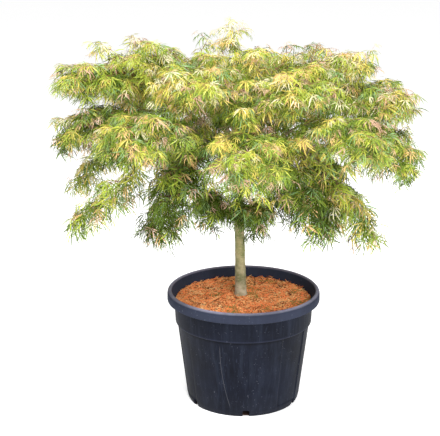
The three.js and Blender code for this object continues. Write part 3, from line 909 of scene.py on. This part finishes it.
def tube(path, radii, sides=TUBE_SIDES):
    """Corners and triangles of a thin tube along a path, open at its root and capped at its end."""
    steps = np.gradient(path, axis=0)
    steps /= np.linalg.norm(steps, axis=1)[:, None]
    across = np.cross(steps, NEARLY_UP)
    across /= np.linalg.norm(across, axis=1)[:, None]
    third = np.cross(steps, across)
    turns = 2 * math.pi * np.arange(sides) / sides
    round_it = np.cos(turns)[None, :, None] * across[:, None] + np.sin(turns)[None, :, None] * third[:, None]
    rings = path[:, None] + radii[:, None, None] * round_it
    faces = []
    for i in range(len(path) - 1):
        for k in range(sides):
            a, b = i * sides + k, i * sides + (k + 1) % sides
            faces += [(a, b, a + sides), (b, b + sides, a + sides)]
    last = (len(path) - 1) * sides
    faces += [(last, last + k, last + k + 1) for k in range(1, sides - 1)]
    return rings.reshape(-1, 3), np.array(faces)


def joined_tubes(made):
    """Corners and triangles of several tubes, as one list of each."""
    corners, faces = zip(*made)
    shifts = np.cumsum([0] + [len(part) for part in corners[:-1]])
    return np.concatenate(corners), np.concatenate([part + shift for part, shift in zip(faces, shifts)])


print("a tube of five steps:", len(tube(limbs[0].point(np.linspace(0, 1, 6)), np.ones(6))[1]), "triangles")


# %% [markdown]
# ## Mulch
# The compost is topped with shredded bark, a little higher round the trunk and with soft hollows.
# The bed below the loose bits is turned like the pot and its top is moved into shape by noise. A
# grid could be sculpted, but the turned bed meets the pot's wall all round.


# %% Mulch bed
BED_RINGS = [(radius, 384) for radius in range(244, 0, -6)]
BED_SECTION = [(0, 360), (246, 360), (250.5, 384)] + BED_RINGS + [(0, 384)]
BED_STEPS = 120
BED_TOP = 384 * MM
BED_CROWN, BED_CROWN_REACH = 8 * MM, 170 * MM
BED_LUMPS = ((4 * MM, 14, 3.0), (2.2 * MM, 55, 8.0))  # height, noise scale, where in the noise
BED_CRUMB, CRUMB_SCALE = 1.6 * MM, 160
TRUNK_PLACE = np.array([-9.0, 24.0]) * MM


def bed_height(x, y):
    """The mulch's surface: a low crown towards the trunk, with hollows and small lumps."""
    away = math.hypot(x - TRUNK_PLACE[0], y - TRUNK_PLACE[1])
    crown = BED_CROWN * math.exp(-(away / BED_CROWN_REACH)**2)
    lumps = sum(high * noise.noise((x * scale, y * scale, at)) for high, scale, at in BED_LUMPS)
    return BED_TOP + crown + lumps


bed = spin_section(BED_SECTION, BED_STEPS, 0)
for vertex in bed.data.vertices:
    if vertex.co.z > BED_TOP - MM:
        rough = BED_CRUMB * noise.noise(vertex.co * CRUMB_SCALE)
        vertex.co.z = bed_height(vertex.co.x, vertex.co.y) + rough
bed.data.update()
bpy.ops.object.shade_smooth()
compost = Finish("shredded bark bed", linear("a8603a"), roughness=0.95, specular=0.2)
bits = compost.noise(260, detail=4, rough=0.7)
damp = compost.noise(16, detail=3)
earth = compost.blend(bits.between(0.35, 0.65), linear("b8602f"), linear("f4ac6c"))
compost.colour(compost.coats(earth, (damp.between(0.55, 0.7) * 0.6, "4e2a1a")))
compost.relief(bits, 2 * MM)
settle(bed, "mulch_bed", compost.material, "mulch", "mulch")


# %% [markdown]
# ## Loose bits of bark
# The topping is rusty crumbs, flat chips and short fibres, fresh and pale or damp and dark. Each
# kind is five shapes of under twenty faces, strewn evenly and turned every way. Physics could drop
# them, but a bit that lies a little sunk in the bed looks the same. Dark bits gather in some patches
# and moss grows in others, and each tone is its own mesh in one plain colour.


# %% Bits of bark
BIT_TONES = (  # name, sRGB colour, share of the bits
    ("rust", "ff9c60", 0.42), ("orange", "ffc280", 0.29), ("pale", "ffe0a4", 0.05),
    ("umber", "b4663e", 0.11), ("dark", "6c3c28", 0.06), ("moss", "948a4c", 0.07),
)
BEFORE_MOSS, IN_MOSS = 0.93, 0.97  # where the tones before moss end, and a place in moss's own share
DARK_PATCH_FROM, MOSSY_FROM = 0.24, 0.3  # where the noise is over these, dark bits or moss gather
DARK_PATCH_SCALE, MOSSY_SCALE = 17, 13
DARKENING = 0.35  # the power that moves the bits of a dark patch towards the dark tones
BARE_IN_MOSS = 0.45  # share of the bits in a mossy patch that stay bare
BIT_KINDS = (  # count, least and greatest size, stretch, tilt, how far it stands over the bed
    (14000, (1.8 * MM, 4.4 * MM), (1, 0.8, 0.7), 0.8, 0.15),
    (500, (4 * MM, 8 * MM), (1, 0.9, 0.9), 0.45, 0.12),
    (1500, (9 * MM, 24 * MM), (1, 1, 1), 0.5, 0.08),
)
SMALL_FAVOURED = 1.5  # the power that makes small bits commoner than large ones
BIT_SHAPES = 5  # of each kind
BED_RADIUS = 249 * MM
TRUNK_GAP = 24 * MM
print("kinds of bit:", len(BIT_KINDS), "tones:", len(BIT_TONES))


# %% Shapes of the bits
def varied(random, value, spread):
    """A value, give or take half of a spread."""
    return value + spread * (next(random) - 0.5)


def crumb_shape(random):
    """A lump with six corners and eight faces."""
    corners = np.array([(1, 0, 0), (0, 1, 0), (-1, 0, 0), (0, -1, 0), (0, 0, 1), (0, 0, -1)], float)
    corners *= [[chosen(random, 0.6, 1.3)] for _ in corners]
    ring = [(0, 1), (1, 2), (2, 3), (3, 0)]
    return corners, np.array([(a, b, 4) for a, b in ring] + [(b, a, 5) for a, b in ring])


def chip_shape(random):
    """A flat flake with uneven ends, a little wider below."""
    flat = np.array([(-1, -0.35), (0.9, -0.45), (1.1, 0.2), (0.1, 0.5), (-0.9, 0.4)])
    flat *= [[chosen(random, 0.75, 1.25)] for _ in flat]
    thick = chosen(random, 0.16, 0.26)
    upper = [(x, y, thick) for x, y in flat]
    corners = np.array(upper + [(x * 1.05, y * 1.1, -thick) for x, y in flat])
    top = [(0, k, k + 1) for k in range(1, 4)]
    bottom = [(5, 5 + k + 1, 5 + k) for k in range(1, 4)]
    sides = []
    for k in range(5):
        after = (k + 1) % 5
        sides += [(k, k + 5, after), (after, k + 5, after + 5)]
    return corners, np.array(top + bottom + sides)


def fibre_shape(random):
    """A bent strand, three-sided."""
    bend = chosen(random, 0.1, 0.4)
    path = np.array([(-1, 0, 0), (-0.3, bend, 0.05), (0.4, bend * 0.8, 0.1), (1, -0.1, 0)])
    return tube(path, np.array([0.04, 0.06, 0.05, 0.02]))


# %% Strewn bits
def random_frame(random, size, tilt):
    """Three axes of a bit that lies nearly flat, turned any way about the upright."""
    turn = 2 * math.pi * next(random)
    lean = [varied(random, 0, 2 * tilt) for _ in range(3)]
    ahead = np.array([math.cos(turn), math.sin(turn), lean[0]])
    up = np.array([lean[1], lean[2], 1.0])
    side = unit(np.cross(up, ahead))
    ahead = unit(ahead)
    return np.array([ahead, side, np.cross(ahead, side)]) * np.array(size)[:, None]


def scatter(count, sizes, stretch, tilt, lift, random):
    """Frames and places of bits strewn evenly over the bed."""
    frames, places = [], []
    while len(places) < count:
        radius, angle = BED_RADIUS * math.sqrt(next(random)), 2 * math.pi * next(random)
        x, y = radius * math.cos(angle), radius * math.sin(angle)
        if np.hypot(*(np.array([x, y]) - TRUNK_PLACE)) < TRUNK_GAP:
            continue
        size = sizes[0] + (sizes[1] - sizes[0]) * next(random)**SMALL_FAVOURED
        frames.append(random_frame(random, [size * part for part in stretch], tilt))
        places.append(np.array([x, y, bed_height(x, y) + size * lift]))
    return np.array(frames), np.array(places)


bit_random = seeded_random(41)
makers = (crumb_shape, chip_shape, fibre_shape)
shapes = [maker(bit_random) for maker in makers for _ in range(BIT_SHAPES)]
strewn = []
for index, kind in enumerate(BIT_KINDS):
    kind_frames, kind_places = scatter(*kind, bit_random)
    own_shapes = [index * BIT_SHAPES + int(next(bit_random) * BIT_SHAPES) for _ in kind_places]
    strewn.append((kind_frames, kind_places, own_shapes))
frames, places, which = (np.concatenate(parts) for parts in zip(*strewn))
print("bits:", len(places), "of", len(shapes), "shapes")


# %% [markdown]
# ## Tones of the bits
# The bits are then dealt to their tones. A place where one noise is high is a dark patch, and
# its bits move towards the dark end of the tones. Where another is high, most turn to moss.


# %% Tones of the bits
mossy = np.array([noise.noise((x * MOSSY_SCALE, y * MOSSY_SCALE, 0)) for x, y, _ in places])
dark_patch = np.array([noise.noise((x * DARK_PATCH_SCALE, y * DARK_PATCH_SCALE, 5)) for x, y, _ in places])
chance = np.array([next(bit_random) for _ in places])
dealt = np.where(dark_patch > DARK_PATCH_FROM, chance ** DARKENING * BEFORE_MOSS, chance * BEFORE_MOSS)
dealt = np.where((mossy > MOSSY_FROM) & (chance > BARE_IN_MOSS), IN_MOSS, dealt)
edges = np.cumsum([share for *_, share in BIT_TONES])[:-1]
tones_of_bits = np.searchsorted(edges, dealt, side="right")
for index, (name, code, _) in enumerate(BIT_TONES):
    mine = np.flatnonzero(tones_of_bits == index)
    corners, faces = joined_copies(shapes, which[mine], frames[mine], places[mine])
    finish = Finish(f"bark bits {name}", linear(code), roughness=0.9, specular=0.2)
    settle(piece_from(f"mulch_{name}", corners, faces), f"mulch_{name}", finish.material, "mulch")


# %% [markdown]
# ## Twigs
# A twig sets out at an angle from the limb that bears it and turns down a little at each step,
# which gives the weeping habit. Each twig bears twiglets by the same rule, one order finer, and
# short spurs also stand along the outer part of every bough. Twigs are counted in thousands, so
# their three-sided tubes are worked out as arrays and joined in one mesh, not modelled singly. The
# crown's tiers differ: twigs are long and level on top, short and hanging in the skirts.


# %% Tiers
# Twigs on a stem, the share of it where they start, their length and droop, the share of a bough
# where spurs start, how far pairs of leaves stand apart, and how large the leaves grow.
Tier = namedtuple("Tier", "twigs, first, length, droop, spurs_from, spacing, growth")
TIERS = {
    "crown": Tier(14, 0.04, 150 * MM, 0.12, 0.35, 14.5 * MM, 0.9),
    "shoulder": Tier(14, 0.04, 150 * MM, 0.16, 0.24, 14.5 * MM, 0.97),
    "skirt": Tier(11, 0.08, 105 * MM, 0.26, 0.12, 20 * MM, 1.15),
    "open": Tier(7, 0.1, 90 * MM, 0.34, 0.1, 36 * MM, 1.25),
    "inner": Tier(6, 0.1, 72 * MM, 0.12, 0.3, 14.5 * MM, 1),
}
print("tiers:", ", ".join(TIERS))


# %% Shoots
STEM_STEPS = 10
STEM_RADIUS = 3.2 * MM
TWIG_LAST = 0.97
TWIG_SHORTENING = 0.3  # of the last twig on a stem, against the first
TWIG_VARIATION = 0.3
TWIG_SPREAD, SPREAD_VARIATION = 55, 16
TWIG_TURN, TURN_VARIATION = 137.5, 40  # degrees round the bearer, from each shoot to the next
LEVELLING = (1, 0.55, 0.3)  # how much of its rise or fall a shoot of each order keeps at its root
SHORTER = (1, 0.75, 0.5)  # the shares of its length at which a shoot is tried
TWIG_STEPS = 5
TWIG_RADII = (1.5 * MM, 0.8 * MM)
LEADER_LENGTH, LEADER_DROOP = 90 * MM, 0.1
TWIGLETS, TWIGLET_START, TWIGLET_SHIFT = 5, 0.6, 0.5  # on each twig, in shares of their spacing
TWIGLET_LENGTH, TWIGLET_VARIATION = 64 * MM, (0.75, 1.25)
TWIGLET_SPREAD = 48
TWIGLET_DROOP = 0.2
TWIGLET_STEPS = 3
TWIGLET_RADII = (0.8 * MM, 0.45 * MM)
SPUR_SPACING = 23 * MM
SPUR_LENGTH, SPUR_VARIATION = 95 * MM, (0.7, 1.3)


class Twig:
    """One shoot: its points, the limb that it belongs to, and its order, 0 for a stem."""

    def __init__(self, limb, points, radii, order, spur=False):
        self.limb = limb
        self.tier = TIERS[limb.tier]
        self.points = points
        self.radii = np.linspace(*radii, len(points))
        self.order = order
        self.spur = spur

    def piece_at(self, share):
        """Where the piece that holds a share of the shoot starts, its run, and how far along."""
        where = share * (len(self.points) - 1)
        step = min(int(where), len(self.points) - 2)
        return self.points[step], self.points[step + 1] - self.points[step], where - step

    def point(self, share):
        start, run, along = self.piece_at(share)
        return start + run * along

    def heading(self, share):
        return unit(self.piece_at(share)[1])


def drooping_path(start, heading, length, steps, droop):
    """Points of a shoot that turns down by the same amount at each step."""
    path = [start]
    for _ in range(steps):
        path.append(path[-1] + heading * length / steps)
        heading = unit(heading - UP * droop)
    return np.array(path)


def inside_ball(limb, points):
    return bool(np.all(np.linalg.norm(points - limb.middle, axis=-1) < MASS_RADIUS - CLEARANCE))


def side_shoot(limb, root, tangent, spread, turn, length, steps, droop, radii, order):
    """A shoot that leaves a limb or twig, tried shorter where it would leave the mass's ball."""
    side = unit(np.cross(tangent, UP) + NUDGE)
    heading = turned(turned(tangent, side, spread), tangent, turn)
    heading = unit(heading * [1, 1, LEVELLING[order]])
    for share in SHORTER:
        path = drooping_path(root, heading, length * share, steps, droop)
        if inside_ball(limb, path[1:]):
            return Twig(limb, path, radii, order)
    return None


# %% [markdown]
# ## Twigs of a mass
# Along a stem, each twig stands a golden angle further round than the last, as buds do, and the
# twigs shorten towards its tip. A shoot that would leave its mass's ball is tried shorter, and is
# left out if it still doesn't fit.


# %% Twigs of a mass
def grow_mass(limb, random):
    """The stem of a mass with its twigs and twiglets."""
    tier = TIERS[limb.tier]
    stem = Twig(limb, limb.point(np.linspace(limb.entry, 1, STEM_STEPS + 1)),
                (STEM_RADIUS, STEM_TIP_RADIUS), 0)
    leader = drooping_path(stem.points[-1], stem.heading(1), LEADER_LENGTH, TWIG_STEPS, LEADER_DROOP)
    shoots = [stem, Twig(limb, leader, TWIG_RADII, 1)]
    for i in range(tier.twigs):
        share = tier.first + (TWIG_LAST - tier.first) * i / (tier.twigs - 1)
        spread = varied(random, TWIG_SPREAD, SPREAD_VARIATION)
        length = tier.length * (1 - TWIG_SHORTENING * share) * varied(random, 1, TWIG_VARIATION)
        twig = side_shoot(limb, stem.point(share), stem.heading(share), spread, 90 + TWIG_TURN * i,
                          length, TWIG_STEPS, tier.droop, TWIG_RADII, 1)
        if twig is not None:
            shoots.append(twig)
    for i, twig in enumerate(shoots[1:]):
        for k in range(TWIGLETS):
            along = (k + varied(random, TWIGLET_START, TWIGLET_SHIFT)) / TWIGLETS
            length = TWIGLET_LENGTH * (1 - TWIG_SHORTENING * along)
            length *= chosen(random, *TWIGLET_VARIATION)
            turn = varied(random, 90 + TWIG_TURN * (i + k), TURN_VARIATION)
            shoots.append(side_shoot(limb, twig.point(along), twig.heading(along), TWIGLET_SPREAD, turn,
                                     length, TWIGLET_STEPS, TWIGLET_DROOP, TWIGLET_RADII, 2))
    return [shoot for shoot in shoots if shoot is not None]


# %% Spurs, and all twigs
def grow_spurs(limb, random):
    """Short shoots along the outer part of a bough, before it enters its mass."""
    spurs = []
    first = TIERS[limb.tier].spurs_from
    count = int(limb.entry * limb.length * (1 - first) / SPUR_SPACING)
    for i in range(count):
        share = limb.entry * (first + (1 - first) * (i + next(random)) / count)
        tangent = limb.heading(share)
        spread = varied(random, TWIG_SPREAD, SPREAD_VARIATION)
        length = SPUR_LENGTH * chosen(random, *SPUR_VARIATION)
        side = unit(np.cross(tangent, UP))
        heading = turned(turned(tangent, side, spread), tangent, 90 + TWIG_TURN * i)
        path = drooping_path(limb.point(share), heading, length, TWIGLET_STEPS, TWIGLET_DROOP)
        spurs.append(Twig(limb, path, TWIG_RADII, 2, spur=True))
    return spurs


twigs = []
for seed, limb in enumerate(limbs, start=1):
    random = seeded_random(seed)
    twigs += grow_mass(limb, random) + grow_spurs(limb, random)
print("twigs:", len(twigs), "stems:", sum(twig.order == 0 for twig in twigs))


# %% [markdown]
# ## One leaf
# The leaf is cut almost to its middle into seven narrow lobes, and each lobe is toothed again. A
# picture of a leaf on a card would be lighter, but from near it shows as a card. Thousands are
# shown, so one lobe is only six or eight triangles: a strip that comes to a point, with one pair
# of forward teeth, or two on the three long lobes. The lobes bend down towards their tips and roll
# a little, and twelve such leaves, each bent its own way, keep the crown from looking stamped out.


# %% Leaf shapes
LOBES = ((-96, 0.52), (-60, 0.78), (-29, 0.95), (0, 1.0), (29, 0.95), (60, 0.78), (96, 0.52))
LOBE_STATIONS = ((0.42, 0.027), (0.74, 0.021))  # share of the lobe, half its width there
LOBE_TURN, LOBE_ROLL, LOBE_BEND = 20, 90, 50  # degrees in which a lobe varies
LOBE_LENGTHS, LOBE_BOWS = (0.82, 1.14), (0.7, 1.3)  # shares of its usual length and bow
TEETH = (0.42, 0.68)  # shares of the lobe
TOOTHED_TWICE = 0.9  # lobes at least this long have both pairs of teeth, the others one
TOOTH_LENGTH, TOOTH_FADE = 0.11, 1.15  # teeth shorten towards the lobe's tip
TOOTH_ROOT = (-0.07, 0.01)  # shares of the lobe, from the tooth's own
TOOTH_INSET = 0.6  # of half the lobe's width
TOOTH_ANGLE = math.radians(18)
LEAF_SHAPES = 12
LEAF_BOW = (0.9, 1.9)  # radians that a whole lobe bends down


def lobe_outline(length, teeth):
    """Points of one lobe along +X, flat, and its triangles."""
    points = [(0.0, 0.0)]
    for share, half in LOBE_STATIONS:
        points += [(share * length, -half), (share * length, half)]
    points.append((length, 0.0))
    faces = [(0, 1, 2), (1, 3, 4), (1, 4, 2), (3, 5, 4)]
    shares, halves = zip((0, 0), *LOBE_STATIONS, (1, 0))
    for share in teeth:
        half = np.interp(share, shares, halves)
        reach = TOOTH_LENGTH * (TOOTH_FADE - share) * length ** 0.5
        for hand in (-1, 1):
            first = len(points)
            points += [((share + root) * length, hand * half * TOOTH_INSET) for root in TOOTH_ROOT]
            points.append((share * length + reach * math.cos(TOOTH_ANGLE),
                           hand * (half + reach * math.sin(TOOTH_ANGLE))))
            faces.append((first, first + 1, first + 2) if hand > 0 else (first, first + 2, first + 1))
    return np.array(points), faces


def leaf_shape(random):
    """One whole leaf, a unit long, with its stalk's end at the origin and +Z its upper face."""
    droop = chosen(random, *LEAF_BOW)
    corners, faces = [], []
    for angle, share in LOBES:
        teeth = TEETH if share > TOOTHED_TWICE else TEETH[1:]
        outline, lobe_faces = lobe_outline(share * chosen(random, *LOBE_LENGTHS), teeth)
        roll = math.radians(varied(random, 0, LOBE_ROLL))
        aside = math.radians(varied(random, angle, LOBE_TURN))
        bend = math.radians(varied(random, 0, LOBE_BEND))
        bow = droop * chosen(random, *LOBE_BOWS)
        x, y = outline.T
        z = y * math.sin(roll) - (1 - np.cos(bow * x)) / bow
        y = y * math.cos(roll) + bend * x * x
        x = np.sin(bow * x) / bow
        first = sum(len(part) for part in corners)
        corners.append(np.stack([x * math.cos(aside) - y * math.sin(aside),
                                 x * math.sin(aside) + y * math.cos(aside), z], axis=1))
        faces += [tuple(first + i for i in face) for face in lobe_faces]
    return np.concatenate(corners), np.array(faces)


shape_random = seeded_random(71)
leaf_shapes = [leaf_shape(shape_random) for _ in range(LEAF_SHAPES)]
print("leaf shapes:", len(leaf_shapes), "of", len(leaf_shapes[0][1]), "triangles")


# %% [markdown]
# ## Where the leaves hang
# Leaves stand in opposite pairs along a shoot, with one more at its tip. Stalks hold the blades out
# level on both sides, so that each shoot is a flat layer, and the lobes hang under it. Tips of the
# crown are young, small and still reach up, and the leaves of the skirts are longer and hang. A
# scatter over the limbs would be quicker, but it would put leaves where no shoot bears one.


# %% Leaf places
LEAF_LENGTHS = (46 * MM, 70 * MM)
STALK_LENGTHS = (8 * MM, 20 * MM)
LEAST_FIRST_NODE = 0.3
YOUNG_HEIGHT = 1.1
YOUNG_FROM = 0.5  # share of a shoot past which its leaves are young, high in the crown
TIP_FROM = 0.7  # and past which they are tip leaves
TIP_LENGTH = 0.7  # of a tip leaf, against one lower down
HANG_YOUNG = (-10, 30)
HANG_OLD = (10, 56)
LEAF_SWING, LEAF_TILT, PAIR_TURN = 50, 60, 50  # degrees in which leaves and their pairs vary
SMALLER = (1, 0.8, 0.6)  # the shares of its length at which a leaf is tried


def fitted(limb, base, ahead, length):
    """A leaf's length cut down to end inside its mass, and whether it can."""
    for share in SMALLER:
        if inside_ball(limb, base + ahead * length * share):
            return length * share, True
    return length, False


class Leaf:
    """One leaf's place: its node, the foot of its blade, the blade's frame, and its shape."""

    def __init__(self, twig, node, heading, share, random):
        self.twig = twig
        self.node = node
        self.base = node + heading * chosen(random, *STALK_LENGTHS)
        young = node[2] > YOUNG_HEIGHT and share > YOUNG_FROM
        hang = math.radians(chosen(random, *(HANG_YOUNG if young else HANG_OLD)))
        level = heading * [1, 1, 0]
        if np.linalg.norm(level) < 0.1:
            level = (node - twig.limb.middle) * [1, 1, 0]
        level = turned(unit(level + NUDGE), UP, varied(random, 0, LEAF_SWING))
        ahead = level * math.cos(hang) - UP * math.sin(hang)
        side = turned(np.cross(UP, level), ahead, varied(random, 0, LEAF_TILT))
        self.tip = share > TIP_FROM and twig.order > 0
        length = chosen(random, *LEAF_LENGTHS) * twig.tier.growth * (TIP_LENGTH if self.tip else 1)
        length, self.fits = fitted(twig.limb, self.base, ahead, length)
        self.frame = np.array([ahead, side, np.cross(ahead, side)]) * length
        self.shape = int(next(random) * LEAF_SHAPES)


def leaves_on(twig, random):
    """Opposite pairs along a twig, held out level to the light, and one leaf at its tip."""
    length = np.linalg.norm(np.diff(twig.points, axis=0), axis=1).sum()
    first = twig.tier.first if twig.order == 0 else LEAST_FIRST_NODE
    nodes = max(1, round(length * (1 - first) / twig.tier.spacing))
    made = []
    for i in range(nodes):
        share = first + (1 - first) * i / nodes
        tangent = twig.heading(share)
        side = unit(np.cross(tangent, UP) + NUDGE)
        side = turned(side, tangent, varied(random, 0, PAIR_TURN))
        for hand in (-1, 1):
            heading = unit(tangent * chosen(random, 0.5, 0.9) + side * hand)
            made.append(Leaf(twig, twig.point(share), heading, share, random))
    made.append(Leaf(twig, twig.points[-1], twig.heading(1), 1, random))
    return [leaf for leaf in made if leaf.fits or twig.spur]


leaf_random = seeded_random(29)
leaves = [leaf for twig in twigs for leaf in leaves_on(twig, leaf_random)]
print("leaves:", len(leaves))


# %% [markdown]
# ## Twigs and stalks
# Shoots of this tree are brown-red where they are young, and the leaf stalks are thin and pinkish
# to straw. A stem has six sides, since it shows among the leaves, and the thousands of twigs and
# stalks have three.


# %% Twigs and stalks
STEM_SIDES = 6
STALK_RADIUS = 0.55 * MM
STALK_TAPER = 0.7

all_masses = [f"foliage_{limb.name}" for limb in limbs]
twig_bark = Finish("twig bark", linear("6b5044"), roughness=0.7)
mottle = twig_bark.noise(90, detail=2).between(0.35, 0.65)
twig_bark.colour(twig_bark.blend(mottle, linear("6a4034"), linear("8c6a50")))
tubes = [tube(twig.points, twig.radii, TUBE_SIDES if twig.order else STEM_SIDES) for twig in twigs]
settle(piece_from("twigs", *joined_tubes(tubes)), "twigs", twig_bark.material, "bough_bark", *all_masses)

stalk_shape = tube(np.array([[0, 0, 0], [1.0, 0, 0]]), np.array([1, STALK_TAPER]))
stalk_frames = []
for leaf in leaves:
    along = leaf.base - leaf.node
    side = unit(np.cross(along, UP) + NUDGE * MM)
    stalk_frames.append([along, side * STALK_RADIUS, unit(np.cross(along, side)) * STALK_RADIUS])
nodes = np.array([leaf.node for leaf in leaves])
stalks = joined_copies([stalk_shape], np.zeros(len(leaves), int), np.array(stalk_frames), nodes)
stalk = Finish("leaf stalk", linear("b08a5c"), roughness=0.5)
blotches = stalk.noise(60, detail=2).between(0.4, 0.6)
stalk.colour(stalk.blend(blotches, linear("a8674c"), linear("b5a860")))
settle(piece_from("leaf_stalks", *stalks), "leaf_stalks", stalk.material, "leaves_shoulder", *all_masses)


# %% [markdown]
# ## Autumn tints and painted light, dealt out by spray
# The shoots that stand in full light have turned: straw and gold on top, with many amber and
# blush-pink tips. Lower and further in the leaves are still green. The tones also carry painted
# light and shade: the darkest go deep inside and under the skirts as painted shade, and the top
# of the crown, the top of each mass and the right-hand side get lighter tones as painted light.
# One finish with noise in it would colour each leaf by chance. Here each spray is given its light
# from its height, how far out it stands and how high it sits in its mass. The whole crown's leaves
# are then dealt to nine tones in fixed shares, and the tips of some sprays to two tints.


# %% Leaf tones
TONES = (  # name, sRGB colour, share of all leaves from the darkest up, material slot
    # painted shade: the shade and deep tones go to the lowest-lit leaves, deep inside and under the skirts
    ("shade", "3a480a", 0.10, "leaves_inner"),
    ("deep", "536a1c", 0.13, "leaves_inner"),
    ("mid", "718a32", 0.15, "leaves_skirt"),
    ("cool", "84a66a", 0.08, "leaves_skirt"),
    ("green", "94aa3c", 0.14, "leaves_skirt"),
    ("fresh", "a8b83e", 0.13, "leaves_shoulder"),
    ("lime", "c4c64e", 0.11, "leaves_shoulder"),
    ("gold", "dcc660", 0.09, "leaves_crown"),
    ("straw", "e2dab0", 0.07, "leaves_crown"),
)
TINTS = (("amber", "dcb274", "leaves_crown"), ("blush", "d0a88c", "leaves_crown"))
TINTED_SHARE = 0.37  # of the sprays; half of these are blush
TINTED_FROM = 0.25  # the darkest share of the leaves keeps its green
CROWN_FOOT, CROWN_HEIGHT = 0.55, 0.85
CROWN_MIDDLE = np.array([0, 0, 0.88])
CROWN_RADII = np.array([0.66, 0.57, 0.5])
# painted light and shade: height, reach and place in the mass make a spray's tones lighter or darker
BY_HEIGHT, BY_REACH, BY_PLACE_IN_MASS = 0.37, 0.1, 0.06  # weights in a spray's light
BY_RIGHT_SIDE_LIGHT = 0.03  # painted light: lighter tones for the right-hand side, where more light falls
OPEN_LIFT = 0.16  # light also falls through the open sprays
SPRAY_CHANCE, LEAF_CHANCE = 0.26, 0.42
TIP_LIFT = 0.12


def light_on(twig, random):
    """How much light a spray gets: about 0 deep inside, and most on the crown's top."""
    end = twig.points[-1]
    height = (end[2] - CROWN_FOOT) / CROWN_HEIGHT
    reach = np.linalg.norm((end - CROWN_MIDDLE) / CROWN_RADII)
    above = (end[2] - twig.limb.middle[2]) / MASS_RADIUS
    lift = OPEN_LIFT * (twig.limb.tier == "open") + BY_RIGHT_SIDE_LIGHT * end[0] / CROWN_RADII[0]
    lit = BY_HEIGHT * height + BY_REACH * reach + BY_PLACE_IN_MASS * above
    return lift + lit + SPRAY_CHANCE * next(random)


tone_random = seeded_random(5)
twig_light = {id(twig): light_on(twig, tone_random) for twig in twigs}
twig_tint = {id(twig): next(tone_random) for twig in twigs}
light = [twig_light[id(leaf.twig)] + TIP_LIFT * leaf.tip + LEAF_CHANCE * next(tone_random)
         for leaf in leaves]
ranks = np.argsort(np.argsort(light)) / len(light)
edges = np.cumsum([share for _, _, share, _ in TONES])[:-1]
tones = np.searchsorted(edges, ranks, side="right")
tint = np.array([twig_tint[id(leaf.twig)] for leaf in leaves])
tinted = (tint < TINTED_SHARE) & [leaf.tip for leaf in leaves] & (ranks > TINTED_FROM)
tones[tinted] = len(TONES)
tones[tinted & (tint < TINTED_SHARE / 2)] = len(TONES) + 1
print("leaves by tone:", np.bincount(tones).tolist())


# %% [markdown]
# ## Leaves
# A leaf is thin enough to glow a little with the light behind it. Each tone's leaves are joined in
# one mesh and share one plain finish, a Principled shader with a small constant part of Translucent
# mixed in. Full subsurface scattering would look much the same and take far longer to render.


# %% Leaves
LEAF_THROUGH = 0.15
LEAF_ROUGHNESS = 0.38
LEAST_GLOSS, GLOSS_RANGE = 0.2, 0.35  # the young pale leaves shine most


def lit_through(finish, share, colour):
    """Lets part of the light through, as a thin leaf does."""
    through = finish.node("BsdfTranslucent", {}, {"Color": (*colour, 1.0)})
    principled = Value(finish, finish.shader.outputs[0])
    both = finish.node("MixShader", {}, {0: share, 1: principled, 2: through.value()})
    finish.feed(finish.tree.nodes["Material Output"].inputs["Surface"], both.value())


leaf_frames = np.array([leaf.frame for leaf in leaves])
leaf_bases = np.array([leaf.base for leaf in leaves])
leaf_which = np.array([leaf.shape for leaf in leaves])
finishes = [(name, code, slot) for name, code, _, slot in TONES] + list(TINTS)
for index, (name, code, slot) in enumerate(finishes):
    mine = np.flatnonzero(tones == index)
    blades = joined_copies(leaf_shapes, leaf_which[mine], leaf_frames[mine], leaf_bases[mine])
    gloss = LEAST_GLOSS + GLOSS_RANGE * index / len(TONES)
    finish = Finish(f"leaf {name}", linear(code), LEAF_ROUGHNESS, gloss)
    lit_through(finish, LEAF_THROUGH, linear(code))
    masses = sorted({f"foliage_{leaves[i].twig.limb.name}" for i in mine})
    settle(piece_from(f"leaves_{name}", *blades), f"leaves_{name}", finish.material, slot, *masses)
